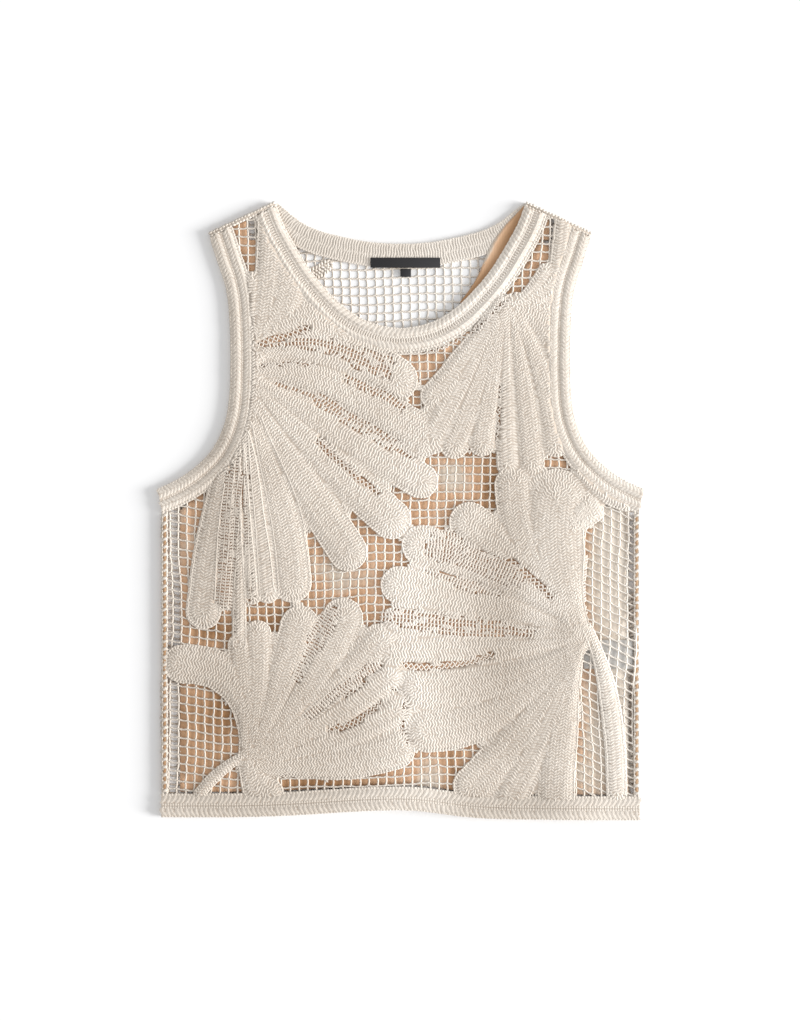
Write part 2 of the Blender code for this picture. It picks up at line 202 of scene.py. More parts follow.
# %% [markdown]
# ## The leaf fans
#
# A fan is a bunch of lobes that spread from one root, as in Irish crochet. Each lobe is worked in rows
# that run up one side, round the tip and down the other, so its rows are nested letters U. Three points
# and a width are enough to place one: its root, the middle of its spine and the end of its tip.

# %% Lobes of the fans
# root x, y, middle x, y, tip x, y, half width, share of that width at the root
FANS = {
    "upper_left": [
        (-139, 435, -77, 441, 13, 398, 21.4, 0.45),
        (-137, 418, -70, 407, 38, 346, 18.6, 0.4),
        (-134, 409, -65, 365, 33, 307, 16.7, 0.35),
        (-134, 402, -85, 351, 5, 267, 19.1, 0.32),
        (-136, 389, -102, 333, -39, 234, 18.6, 0.5),
    ],
    "left": [
        (-157, 372, -174, 265, -185, 178, 16, 0.5),
        (-152, 360, -160, 280, -164, 195, 9, 0.5),
        (-150, 365, -150, 270, -150, 158, 6, 0.7),
        (-146, 365, -142, 279, -137, 201, 7, 0.6),
        (-143, 366, -130, 279, -123, 202, 10.2, 0.55),
        (-137, 372, -112, 293, -100, 203, 17.7, 0.45),
    ],
    "right": [
        (170, 177, 120, 231, 48, 288, 19.5, 0.3),
        (169, 175, 98, 226, 1, 260, 19.1, 0.3),
        (168, 173, 74, 203, -19, 221, 17.7, 0.28),
        (168, 171, 74, 179, -19, 186, 13.0, 0.35),
        (168, 169, 74, 157, -23, 155, 14.9, 0.35),
        (168, 167, 93, 128, -2, 126, 19.5, 0.3),
        (168, 166, 97, 105, 5, 82, 20.5, 0.3),
        (168, 166, 124, 95, 54, 17, 20.5, 0.28),
        (168, 165, 136, 92, 95, 7, 16.7, 0.3),
        (168, 164, 150, 91, 145, 2, 17.7, 0.3),
    ],
    "lower_left": [
        (-140, 56, -151, 123, -221, 145, 18.6, 0.6),
        (-142, 58, -146, 119, -151, 174, 11.2, 0.6),
        (-140, 59, -133, 123, -134, 186, 13, 0.55),
        (-138, 59, -111, 126, -89, 199, 18.6, 0.4),
        (-136, 58, -87, 121, -47, 206, 19.5, 0.4),
        (-134, 56, -68, 113, -8, 179, 18.6, 0.35),
        (-133, 54, -67, 93, 0, 141, 15.8, 0.35),
        (-133, 52, -66, 73, 10, 108, 16.7, 0.3),
        (-133, 49, -61, 54, 13, 71, 18.6, 0.45),
        (-138, 48, -133, 32, -109, 19, 15.8, 0.8),
    ],
    "under_arm": [
        (171, 167, 122, 240, 104, 329, 17.7, 0.5),
        (171, 169, 145, 236, 150, 327, 29.8, 0.35),
        (159, 275, 171, 285, 187, 295, 14.0, 0.8),
        (165, 325, 187, 304, 216, 292, 6.5, 0.8),
    ],
    "upper_right": [
        (93, 482, 61, 430, 22, 385, 14, 0.5),
        (95, 482, 58, 409, 23, 342, 15.8, 0.4),
        (97, 480, 70, 400, 44, 337, 14, 0.4),
        (98, 478, 83, 400, 74, 338, 12.1, 0.45),
        (100, 476, 98, 400, 100, 321, 10.2, 0.45),
        (103, 476, 115, 400, 123, 321, 12.1, 0.45),
        (106, 476, 133, 409, 145, 337, 13, 0.5),
    ],
    "right_shoulder": [
        (106, 478, 134, 491, 154, 525, 12.1, 0.7),
        (107, 476, 141, 456, 167, 372, 18.6, 0.8),
        (134, 474, 151, 409, 171, 339, 13, 0.7),
        (140, 440, 146, 500, 153.5, 566, 9.3, 0.9),
        (112, 483, 124, 493, 139, 517, 8, 0.8),
    ],
    "left_shoulder": [
        (-133, 435, -124, 493, -120, 572, 13, 0.9),
        (-138, 439, -107, 484, -107, 547, 18.6, 0.8),
        (-136, 442, -93, 460, -45, 442, 20.5, 0.8),
        (-142, 484, -138, 409, -149, 353, 11.2, 0.9),
        (-139, 435, -140, 469, -136, 510, 8.4, 0.9),
    ],
    "side_leaf": [
        (174, 177, 194, 112, 201, 17, 9.3, 0.5),
    ],
    "stalk": [(-149, 58, -170, 43, -190, 20, 5.6, 0.8)],
}
FULL_AT = 0.65  # where along its spine a lobe is full
ROW_WIDTH = 7.0  # one row, there and back
SPINE_POINTS, END_POINTS = 64, 15  # of a lobe's spine, and of a row's turn round the lobe's end
CURVE_CUTS = 24  # between two given points of a curve
FAR_OFF = 9.0  # a share that no lobe reaches
MARGIN = 3  # mm looked at round a lobe
GAP_FILLED, RIM_WIDTH = 3, 5  # gaps between lobes that are filled, and the rim with its own stitch, in mm
CROWN_EDGE, CROWN_RISE, CROWN_SLOPE = 0.45, 0.95, 1.6  # a lobe is thicker along its spine than at its edge

# %% Lines


def unit(rows):
    """Each row of x and y at length 1."""
    return rows / np.linalg.norm(rows, axis=1)[:, None]


def left_of(rows):
    """Each row of x and y turned a quarter to the left."""
    return np.stack([-rows[:, 1], rows[:, 0]], 1)


def run_of(line):
    """How far along a line each of its points is."""
    return np.concatenate([[0], np.cumsum(np.linalg.norm(np.diff(line[:, :2], axis=0), axis=1))])


def curve(points, step=2.0):
    """A smooth line through some points, at an even step. Further columns go along with x and y."""
    p = np.array(points, float)
    p = np.concatenate([[2 * p[0] - p[1]], p, [2 * p[-1] - p[-2]]])
    t = np.linspace(0, 1, CURVE_CUTS, endpoint=False)[:, None]
    fine = [
        0.5 * (2 * b + (c - a) * t + (2 * a - 5 * b + 4 * c - d) * t**2 + (3 * b - a - 3 * c + d) * t**3)
        for a, b, c, d in zip(p, p[1:], p[2:], p[3:])
    ]
    fine = np.concatenate([*fine, p[-2:-1]])
    run = run_of(fine)
    wanted = np.linspace(0, run[-1], round(run[-1] / step) + 1)
    return np.stack([np.interp(wanted, run, column) for column in fine.T], 1)


def smooth_step(t):
    """From 0 to 1 with a gentle start and end."""
    t = np.clip(t, 0, 1)
    return t * t * (3 - 2 * t)


# %% A lobe


class Lobe:
    """A lobe's spine as points with a half width at each."""

    def __init__(self, numbers, flip=1):
        root, middle, tip = (np.array((numbers[i] * flip, numbers[i + 1])) for i in (0, 2, 4))
        half, share = numbers[6:]
        bend = 2 * middle - (root + tip) / 2
        tip = tip - (tip - bend) / np.linalg.norm(tip - bend) * half
        bend = 2 * middle - (root + tip) / 2
        t = np.linspace(0, 1, SPINE_POINTS)[:, None]
        self.spine = (1 - t) ** 2 * root + 2 * t * (1 - t) * bend + t**2 * tip
        self.half = half * (share + (1 - share) * smooth_step(t[:, 0] / FULL_AT))
        self.ahead = unit(np.gradient(self.spine, axis=0))
        self.aside = left_of(self.ahead)
        self.rings = max(1, round(half / ROW_WIDTH))

    def row(self, share):
        """One row at a share of the half width: its points, and the lobe's half width at each."""
        turn = np.linspace(0, math.pi, END_POINTS)[1:-1, None]

        def round_end(end, reach):
            way = np.cos(turn) * self.aside[end] + np.sin(turn) * self.ahead[end]
            return self.spine[end] + reach * self.half[end] * way

        tip, root = round_end(-1, share), round_end(0, -share)
        side = self.aside * self.half[:, None] * share
        line = np.concatenate([self.spine + side, tip, (self.spine - side)[::-1], root])
        width = np.repeat([1.0, self.half[-1], 1.0, self.half[0]], [len(side), len(tip), len(side), len(root)])
        width[: len(side)] = self.half
        width[len(side) + len(tip) : -len(root)] = self.half[::-1]
        return line, width


# %% Which lobe owns each place


class Layout:
    """Which lobe each raster point of a panel belongs to, and how far from that lobe's spine it is."""

    def __init__(self, lobes, area):
        self.lobes, self.area = lobes, area
        self.near = np.full(grid_x.shape, FAR_OFF)
        self.owner = np.full(grid_x.shape, -1)
        for number, lobe in enumerate(lobes):
            low = np.floor((lobe.spine - lobe.half[:, None]).min(0) - MARGIN - (X0, Y0)).astype(int).clip(0)
            high = np.ceil((lobe.spine + lobe.half[:, None]).max(0) + MARGIN - (X0, Y0)).astype(int).clip(0)
            part = (slice(low[1], high[1]), slice(low[0], high[0]))
            px, py = grid_x[part], grid_y[part]
            share = np.full(px.shape, FAR_OFF)
            for (cx, cy), half in zip(lobe.spine, lobe.half):
                share = np.minimum(share, np.hypot(px - cx, py - cy) / half)
            closer = share < self.near[part]
            self.near[part] = np.where(closer, share, self.near[part])
            self.owner[part] = np.where(closer, number, self.owner[part])
        self.leaf = closed(self.near <= 1, GAP_FILLED)
        self.rim = grown(~self.leaf, RIM_WIDTH)
        crown = CROWN_EDGE + CROWN_RISE * smooth_step(CROWN_SLOPE * (1 - self.near))
        self.crown = blurred(np.where(self.leaf, crown, 0.0), 2)


# %% Lay out the front
front_lobes = [Lobe(numbers) for lobes in FANS.values() for numbers in lobes]
UNDER_BANDS = 3  # mm that the leaves go on under the bands
front = Layout(front_lobes, grown(front_area, UNDER_BANDS))
print(f"{len(front_lobes)} lobes cover {(front.leaf & front_area).sum() / front_area.sum():.0%} of the front")

# %% [markdown]
# ## Lace in the leaves
#
# Between the close rows run strips of lace: ladders, whose thin rungs let the lining show, and lines of
# small holes where a chain zigzags from one lobe to the next. A strip has rows of its own along its
# path, and a row is left out where the strip is too narrow for it. The close rows stop at its edge.

# %% Strips of lace
# kind, and x, y and half width at each point of the path
STRIPS = [
    ("ladder", [
        (-123, 441, 3), (-94, 443, 5.6), (-66, 440, 6.5), (-47, 433, 9.3), (-24, 425, 11),
        (-8, 420, 11),
    ]),
    ("ladder", [
        (-67, 417, 2), (-52, 411, 3.3), (-33, 403, 3.7), (-14, 394, 3.7), (2, 383, 3.3), (11, 378, 2),
    ]),
    ("ladder", [
        (-119, 407, 2), (-107, 403, 3.7), (-94, 399, 4.6), (-75, 391, 5.6), (-52, 375, 6.5),
        (-28, 362, 6.5), (-5, 347, 5.6), (11, 335, 3),
    ]),
    ("holes", [
        (-134, 440, 3.4), (-121, 446, 3.4), (-107, 450, 3.4), (-93, 455, 3.4), (-80, 457, 2),
        (-58, 448, 2),
    ]),
    ("holes", [(-134, 422, 1.4), (-117, 423, 1.4), (-98, 424, 1.4), (-77, 421, 1.4)]),
    ("holes", [
        (-88, 371, 1.4), (-81, 357, 1.4), (-73, 349, 3.4), (-60, 335, 3.4), (-38, 316, 3.4),
        (-9, 295, 1.4),
    ]),
    ("loose", [(-151, 350, 4.5), (-157, 300, 9), (-161, 242, 9), (-165, 195, 8)]),
    ("loose", [(-143, 350, 2.3), (-144, 280, 2.3), (-141, 205, 2.3)]),
    ("loose", [(24, 256, 13), (46, 253, 14), (65, 242, 11), (83, 235, 12), (102, 227, 10), (113, 222, 6)]),
    ("holes", [(67, 256, 1.4), (93, 247, 1.4), (111, 233, 3.4), (131, 216, 3.4), (146, 202, 1.4)]),
    ("loose", [(23, 231, 3.7), (41, 226, 4.6), (60, 219, 5.6), (79, 212, 4.6), (90, 208, 2)]),
    ("ladder", [
        (-19, 189, 7), (0, 188, 8), (23, 184, 8.4), (46, 180, 9.3), (74, 178, 9.8), (97, 177, 7.4),
        (116, 174, 4.6), (134, 173, 1.5),
    ]),
    ("holes", [
        (0, 144, 3.4), (23, 142, 3.4), (46, 144, 3.4), (65, 147, 3.4), (79, 151, 3.4), (91, 155, 1.4),
    ]),
    ("loose", [
        (-103, 86, 1.5), (-89, 95, 3), (-75, 106, 4.4), (-61, 118, 4.6), (-47, 128, 4.6),
        (-33, 138, 4.6), (-19, 145, 4.6),
    ]),
    ("holes", [(-53, 114, 1.4), (-44, 120, 1.4), (-31, 129, 1.4)]),
    ("holes", [
        (-72, 79, 1.4), (-63, 85, 3.4), (-49, 88, 3.4), (-39, 93, 3.4), (-31, 99, 3.4), (-9, 118, 1.4),
    ]),
    ("holes", [(-9, 123, 1.4), (4, 114, 1.4), (3, 100, 1.4), (1, 84, 1.4), (8, 70, 1.4)]),
    ("holes", [(98, 483, 1.2), (74, 459, 1.2), (46, 442, 1.2), (27, 435, 1.2)]),
    ("holes", [(93, 405, 1.2), (89, 347, 1.2)]),
    ("loose", [(-98, 130, 4), (-84, 158, 7), (-70, 182, 8), (-61, 197, 6)]),
]
# row height, stitch pitch, and how far from a row's middle the close rows and the ground behind them stay
ROWS_OF = {"ladder": (4.4, 3.3, 2, 3), "loose": (4.2, 2.9, 2, 3), "holes": (3.0, 2.4, 2, 2)}
LONE_CLEAR = 1  # the close rows come nearer to a row that is alone
HALF_LOOK = 1.5  # a row's direction is taken over this many mm of it, either way
ROOM = 0.25  # the part of a row's height that has to fit inside the strip

# %% Points along a row


def along_line(line, pitch, extra=None):
    """Points at an even pitch along a line, the row's direction there, the true pitch, and extra values."""
    run = run_of(line)
    count = max(1, round(run[-1] / pitch))
    wanted = (np.arange(count) + 0.5) * run[-1] / count
    spots, before, after = (
        np.stack([np.interp(where, run, line[:, 0]), np.interp(where, run, line[:, 1])], 1)
        for where in (wanted, wanted - HALF_LOOK, wanted + HALF_LOOK)
    )
    more = None if extra is None else np.interp(wanted, run, extra)
    return spots, unit(after - before), run[-1] / count, more


def cell_of(spots):
    """Row and column of the raster at some points."""
    column = np.rint(spots[:, 0] - X0).astype(int).clip(0, grid_x.shape[1] - 1)
    row = np.rint(spots[:, 1] - Y0).astype(int).clip(0, grid_x.shape[0] - 1)
    return row, column


# %% Lay out the lace
lace_rows = []  # kind, number in its strip, spots, way and pitch of each row
lace_area, open_area = np.zeros(grid_x.shape, bool), np.zeros(grid_x.shape, bool)
for which, path in STRIPS:
    height, pitch, clear, ground_clear = ROWS_OF[which]
    line = curve(path, 1.0)
    aside = unit(left_of(np.gradient(line[:, :2], axis=0)))
    count = max(1, round(2 * line[:, 2].max() / height))
    taken = np.zeros(grid_x.shape, bool)
    for number in range(count):
        off = (number - (count - 1) / 2) * height
        spots, way, true_pitch, half = along_line(line[:, :2] + aside * off, pitch, line[:, 2])
        keep = (abs(off) + ROOM * height <= half) & front_area[cell_of(spots)]
        lace_rows.append((which, number, spots[keep], way[keep], true_pitch))
        taken[cell_of(spots[keep])] = True
    lace_area |= grown(taken, clear if count > 1 else LONE_CLEAR)
    open_area |= grown(taken, ground_clear)
lace_share = (lace_area & front.leaf).sum() / front.leaf.sum()
print(f"{len(lace_rows)} rows of lace take {lace_share:.0%} of the leaves")

# %% [markdown]
# ## Yarn
#
# The yarn is mercerised cotton in a warm cream, twisted from a few plies. Its short fibres scatter light,
# so it is matte with a faint sheen at grazing angles, and its colour is never quite even. The plies are
# about half a millimetre wide. The grooves between stitches get a deeper colour, painted shade where light
# is lost, and soft spots of painted light and shade stand in for the shading of the cloth's folds.

# %% Helpers for materials


def linear(code):
    """An sRGB hex colour as Blender's linear values."""
    parts = [int(code[i : i + 2], 16) / 255 for i in (1, 3, 5)]
    return (*[c / 12.92 if c <= 0.04045 else ((c + 0.055) / 1.055) ** 2.4 for c in parts], 1.0)


def add_node(tree, kind_of, settings=None, inputs=None, links=None):
    """A node with its settings, the values of its sockets and the links into them."""
    node = tree.nodes.new(kind_of)
    for key, value in (settings or {}).items():
        setattr(node, key, value)
    for key, value in (inputs or {}).items():
        node.inputs[key].default_value = value
    for key, source in (links or {}).items():
        tree.links.new(source, node.inputs[key])
    return node


def new_material(name, roughness, **sockets):
    """A material, its node tree and shader, and the Object coordinates that its patterns read."""
    made = bpy.data.materials.new(name)
    made.use_nodes = True
    tree = made.node_tree
    shader = tree.nodes["Principled BSDF"]
    shader.inputs["Roughness"].default_value = roughness
    for key, value in sockets.items():
        shader.inputs[key.replace("_", " ")].default_value = value
    return made, tree, shader, add_node(tree, "ShaderNodeTexCoord").outputs["Object"]


def noise(tree, place, scale, detail):
    """Soft irregular patches, more of them to the metre with a larger scale."""
    inputs = {"Scale": scale, "Detail": detail}
    return add_node(tree, "ShaderNodeTexNoise", inputs=inputs, links={"Vector": place}).outputs["Fac"]


def wave(tree, place, direction, **inputs):
    """Even lines across the piece, as threads lie side by side."""
    inputs = {key.replace("_", " "): value for key, value in inputs.items()}
    made = add_node(tree, "ShaderNodeTexWave", {"bands_direction": direction}, inputs, {"Vector": place})
    return made.outputs["Fac"]


def colour_by(tree, shader, value, stops):
    """Colours a material by a ramp over some value."""
    made = add_node(tree, "ShaderNodeValToRGB", links={"Fac": value})
    ramp = made.color_ramp
    while len(ramp.elements) < len(stops):
        ramp.elements.new(0.5)
    for element, (place, colour) in zip(ramp.elements, stops):
        element.position, element.color = place, linear(colour)
    tree.links.new(made.outputs["Color"], shader.inputs["Base Color"])


def raise_by(tree, shader, value, strength, distance):
    """Lets a value stand out of the surface as a bump, distance in metres."""
    inputs = {"Strength": strength, "Distance": distance}
    made = add_node(tree, "ShaderNodeBump", inputs=inputs, links={"Height": value})
    tree.links.new(made.outputs["Normal"], shader.inputs["Normal"])


# %% Cream yarn


def yarn_material(name, deep, usual, pale):
    """Cotton yarn: uneven colour at the scale of a hand and of a stitch, painted light and shade from an
    attribute, and plies as a fine bump.
    """
    made, tree, shader, place = new_material(
        name, roughness=0.82, Sheen_Weight=0.15, Sheen_Roughness=0.5, IOR=1.5
    )
    patches = noise(tree, place, scale=22, detail=3)
    stitches = noise(tree, place, scale=330, detail=2)
    both = add_node(tree, "ShaderNodeMix", inputs={"Factor": 0.55}, links={"A": patches, "B": stitches})
    painted_shading = add_node(tree, "ShaderNodeAttribute", {"attribute_name": "tone_and_painted_light"})
    tone = add_node(tree, "ShaderNodeMath", links={0: both.outputs["Result"], 1: painted_shading.outputs["Fac"]})
    colour_by(tree, shader, tone.outputs[0], [(0.1, deep), (0.5, usual), (0.9, pale)])
    plies = wave(tree, place, "DIAGONAL", Scale=320, Distortion=6, Detail=2, Detail_Scale=2)
    raise_by(tree, shader, plies, strength=0.35, distance=0.0003)
    return made


# x, y, reach in x and y, and how much paler or deeper the yarn is there: painted light and painted shade of
# the cloth's folds
YARN_PAINTED_LIGHT_AND_SHADE = [
    (11, 167, 32, 190, 0.30), (95, 167, 26, 140, -0.36), (204, 167, 26, 190, 0.4), (-172, 121, 60, 95, -0.34),
    (-149, 12, 95, 24, -0.36), (-80, 85, 60, 60, -0.26), (60, 495, 70, 45, 0.34), (116, 12, 80, 18, -0.3),
    (-165, 270, 34, 85, -0.34), (-178, 430, 26, 90, -0.42), (130, 205, 20, 50, 0.25), (-15, 225, 26, 60, 0.2),
]


def tones(table, x, y):
    """Sum of soft spots from a table, for arrays of x and y in mm."""
    return sum(
        amount * np.exp(-(((x - px) / rx) ** 2) - ((y - py) / ry) ** 2) for px, py, rx, ry, amount in table
    )


yarn = yarn_material("Cream cotton yarn", "#CBC0B3", "#E0D6CA", "#F2EAE0")
# painted shade: a deeper yarn colour for the ground and the band cores, where the grooves lie in shade
yarn_painted_shade = yarn_material("Cream cotton yarn, painted shade between the stitches", "#B5A595", "#C9BBAC", "#DACDBF")
print("materials:", yarn.name, "and", yarn_painted_shade.name)

# %% [markdown]
# ## Stitches
#
# A stitch is a loop of yarn. From above, a tall stitch is a post that crosses its row at a slant, with a
# small loop, its head, lying along the row's edge. A ring of points, pushed on and widened from station
# to station, makes one. Its size is 1 along the row and 1 across it, and each copy is stretched to fit.

# %% Helpers for stitches


def points_of(mesh):
    """The points of a mesh as rows of x, y and z."""
    flat = np.empty(len(mesh.vertices) * 3)
    mesh.vertices.foreach_get("co", flat)
    return flat.reshape(-1, 3)


def shape_of(made):
    """Points and triangles of an object, which is removed."""
    mesh = made.data
    bpy.data.objects.remove(made)
    return points_of(mesh), np.array([p.vertices[:] for p in mesh.polygons])


YARN_SIDES = 4  # enough for yarn this thin, and few faces


def strand(name, stations):
    """A short length of yarn along Y, closed at both ends.

    Each station is (x, y, z, half width, half height). Returns its points and triangles.
    """
    x, y, z, wide, tall = stations[0]
    bpy.ops.mesh.primitive_circle_add(
        vertices=YARN_SIDES, radius=1, fill_type="NGON", rotation=(math.pi / 2, 0, 0)
    )
    made = bpy.context.active_object
    made.name = name
    bpy.ops.object.transform_apply(location=True, rotation=True, scale=True)
    bpy.ops.object.mode_set(mode="EDIT")
    bpy.ops.mesh.select_all(action="SELECT")
    bpy.ops.transform.resize(value=(wide, 1, tall), center_override=(0, 0, 0))
    bpy.ops.transform.translate(value=(x, y, z))
    for (ax, ay, az, aw, at_), (bx, by, bz, bw, bt) in zip(stations, stations[1:]):
        bpy.ops.mesh.extrude_region_move(TRANSFORM_OT_translate={"value": (bx - ax, by - ay, bz - az)})
        bpy.ops.transform.resize(value=(bw / aw, 1, bt / at_), center_override=(bx, by, bz))
    bpy.ops.mesh.select_all(action="SELECT")
    bpy.ops.mesh.quads_convert_to_tris()
    bpy.ops.mesh.normals_make_consistent(inside=False)
    bpy.ops.object.mode_set(mode="OBJECT")
    return shape_of(made)


def turned(shape):
    """The same stitch turned to lie along the row."""
    points, faces = shape
    return np.stack([points[:, 1], -points[:, 0], points[:, 2]], 1), faces


def mirrored(shape):
    """The same stitch slanting the other way."""
    points, faces = shape
    return points * (-1, 1, 1), faces[:, ::-1]


def joined(*shapes):
    """Several shapes as one."""
    points, faces, start = [], [], 0
    for p, f in shapes:
        points.append(p)
        faces.append(f + start)
        start += len(p)
    return np.concatenate(points), np.concatenate(faces)


# %% Model the stitches
post = strand("post", [
    (-0.24, -0.58, -0.08, 0.46, 0.34), (-0.12, -0.2, 0.1, 0.4, 0.4),
    (0.12, 0.2, 0.1, 0.4, 0.4), (0.24, 0.58, -0.08, 0.46, 0.34),
])
back_post = strand("back_post", [
    (-0.24, -0.56, -0.05, 0.46, 0.35), (0.0, 0.0, 0.1, 0.42, 0.42), (0.24, 0.56, -0.05, 0.46, 0.35),
])
edge_head = turned(strand("edge_head", [
    (-0.3, -0.62, -0.1, 0.2, 0.3), (-0.36, 0.02, 0.25, 0.32, 0.6), (-0.3, 0.62, -0.1, 0.2, 0.3),
]))
thin_post = strand("thin_post", [
    (-0.06, -0.56, -0.3, 0.22, 0.4), (0.08, -0.22, 0.1, 0.27, 0.5),
    (-0.08, 0.14, 0.15, 0.27, 0.5), (0.06, 0.56, -0.3, 0.22, 0.4),
])
loose_post = strand("loose_post", [
    (-0.12, -0.56, -0.2, 0.3, 0.4), (0.1, -0.22, 0.1, 0.36, 0.45),
    (-0.1, 0.14, 0.15, 0.36, 0.45), (0.12, 0.56, -0.2, 0.3, 0.4),
])
lace_head = turned(strand("lace_head", [
    (-0.5, -0.6, -0.1, 0.1, 0.3), (-0.46, 0.0, 0.2, 0.13, 0.45), (-0.5, 0.6, -0.1, 0.1, 0.3),
]))
zigzag = strand("zigzag", [
    (-0.52, -0.5, -0.1, 0.36, 0.35), (0.0, 0.0, 0.15, 0.34, 0.45), (0.52, 0.5, -0.1, 0.36, 0.35),
])
cord = turned(strand("cord", [
    (0.0, -0.54, 0.0, 0.16, 0.9), (0.035, -0.3, 0.05, 0.115, 0.75), (0.07, 0.0, 0.0, 0.105, 0.7),
    (0.035, 0.3, 0.05, 0.115, 0.75), (0.0, 0.54, 0.0, 0.16, 0.9),
]))
loop = strand("loop", [
    (-0.3, -0.54, -0.3, 0.46, 0.3), (-0.3, -0.22, 0.0, 0.5, 0.36),
    (0.0, 0.12, 0.05, 0.5, 0.36), (0.42, 0.52, -0.3, 0.42, 0.3),
])
bead = turned(strand("bead", [
    (0, -0.6, -0.15, 0.35, 0.2), (0.05, 0.0, 0.1, 0.55, 0.4), (0, 0.6, -0.15, 0.35, 0.2),
]))
edge_stitch = joined(post, edge_head)
lace_stitch, loose_stitch = joined(thin_post, lace_head), joined(loose_post, lace_head)
named = {"post": post, "edge stitch": edge_stitch, "lace stitch": lace_stitch, "net cord": cord, "loop": loop}
for title, (_, triangles) in named.items():
    print(f"{title}: {len(triangles)} triangles")

# %% [markdown]
# ## Placing thousands of stitches
#
# A row is a line. Points are taken along it at the stitch pitch, and each gets a copy of the stitch that
# is turned to the row's direction. A little unevenness in turn, size and place is what makes it look
# worked by hand. All copies of a fan are one mesh, because thousands of objects would be slow to handle.

# %% Place copies of a stitch
# how much the turn, the place, the size and the height of a stitch vary, in radians, mm, as a share and in mm
LOOSE_TURN, LOOSE_PLACE, LOOSE_SIZE, LOOSE_HEIGHT = 0.13, 0.16, 0.08, 0.06


def sew(shape, spots, way, wide, deep, level, tall=1.0, uneven=1.0):
    """Copies of a stitch. wide is its size along the row and deep across it, level gives a height at x, y."""
    points, faces = shape
    count = len(spots)
    if not count:
        return np.zeros((0, 3)), np.zeros((0, 3), int)
    angle = rng.normal(0, LOOSE_TURN * uneven, count)
    cos, sin = np.cos(angle), np.sin(angle)
    ax, ay = way[:, 0] * cos - way[:, 1] * sin, way[:, 0] * sin + way[:, 1] * cos
    shift = rng.normal(0, LOOSE_PLACE * uneven, (count, 2))
    grow = 1 + rng.normal(0, LOOSE_SIZE * uneven, count)
    u = points[None, :, 0] * np.broadcast_to(wide, count)[:, None] * grow[:, None]
    v = points[None, :, 1] * np.broadcast_to(deep, count)[:, None]
    x = spots[:, 0, None] + shift[:, :1] + u * ax[:, None] - v * ay[:, None]
    y = spots[:, 1, None] + shift[:, 1:] + u * ay[:, None] + v * ax[:, None]
    lift = rng.normal(0, LOOSE_HEIGHT * uneven, count)[:, None]
    z = level(x, y) + points[None, :, 2] * tall + lift
    made = np.stack([x, y, z], 2).reshape(-1, 3)
    return made, (faces[None] + np.arange(count)[:, None, None] * len(points)).reshape(-1, 3)


# %% Join the copies into a piece


def set_tone_and_painted_light(mesh, values):
    """Tone at each of the piece's points, for its material; it carries painted light and painted shade."""
    mesh.attributes.new("tone_and_painted_light", "FLOAT", "POINT").data.foreach_set("value", values)


def settle(made):
    """Lets a finished piece ride on the top."""
    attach(made, "root")
    print(f"{made.name}: {len(made.data.polygons)} faces")
    return made


def add_piece(name, parts, smooth=True):
    """One piece of yarn from parts: points in mm, triangles and material of each."""
    finishes = list(dict.fromkeys(part[2] for part in parts))
    points, faces, which, start = [], [], [], 0
    for p, f, finish in parts:
        points.append(p)
        faces.append(f + start)
        which.append(np.full(len(f), finishes.index(finish)))
        start += len(p)
    points, faces, which = np.concatenate(points), np.concatenate(faces), np.concatenate(which)
    mesh = bpy.data.meshes.new(name)
    mesh.vertices.add(len(points))
    mesh.vertices.foreach_set("co", ((points - (0, LENGTH / 2, 0)) * MM).ravel())
    mesh.loops.add(faces.size)
    mesh.loops.foreach_set("vertex_index", faces.ravel())
    mesh.polygons.add(len(faces))
    mesh.polygons.foreach_set("loop_start", np.arange(0, faces.size, 3))
    mesh.polygons.foreach_set("loop_total", np.full(len(faces), 3))
    for finish in finishes:
        mesh.materials.append(finish)
    mesh.polygons.foreach_set("material_index", which)
    mesh.polygons.foreach_set("use_smooth", np.full(len(faces), smooth))
    # the yarn's colour is shifted by painted light and painted shade of the cloth's folds
    set_tone_and_painted_light(mesh, tones(YARN_PAINTED_LIGHT_AND_SHADE, points[:, 0], points[:, 1]))
    mesh.update(calc_edges=True)
    mesh.validate()
    made = bpy.data.objects.new(name, mesh)
    bpy.context.scene.collection.objects.link(made)
    return settle(made)


# %% [markdown]
# ## The front's leaves
#
# Each lobe is filled row by row. A stitch is kept where its lobe owns the place, so that lobes meet in a
# clean line. From one row to the next the slant turns round, because the work is turned at each row's
# end, and that gives the fine herringbone of the leaves.

# %% Fill lobes with rows
STITCH_PITCH = 2.75  # from one stitch to the next
FILL = 0.96  # how much of a lobe its rows take, so that a groove stays between lobes


def fill_lobes(layout, numbers, close, rim_stitch, level, pitch, per_row, skip):
    """Stitches of some lobes of a layout, per_row lines of them to a row, but none where skip is set."""
    made = []
    for number in numbers:
        lobe = layout.lobes[number]
        rings = lobe.rings * per_row
        for ring in range(rings + per_row):
            line, half = lobe.row((ring + 0.5) / rings * FILL)
            spots, way, true_pitch, half = along_line(line, pitch, half)
            cell = cell_of(spots)
            keep = layout.leaf[cell] & layout.area[cell] & (layout.owner[cell] == number) & ~skip[cell]
            rim = keep & layout.rim[cell] & (ring == rings - 1)
            for shape, chosen in ((rim_stitch, rim), (close, keep & ~rim)):
                slant = shape if ring % 2 else mirrored(shape)
                deep = half[chosen] / rings
                made.append((*sew(slant, spots[chosen], way[chosen], true_pitch, deep, level), yarn))
    return made


def on_front(height):
    """A level above the front's underside that follows the leaves' crowns."""
    return lambda x, y: at(cloth, x, y) + at(front.crown, x, y) + height


def over(field, height):
    """A level above a raster of heights."""
    return lambda x, y: at(field, x, y) + height


def flat(height):
    """A level that is the same everywhere."""
    return lambda x, y: 0 * x + height


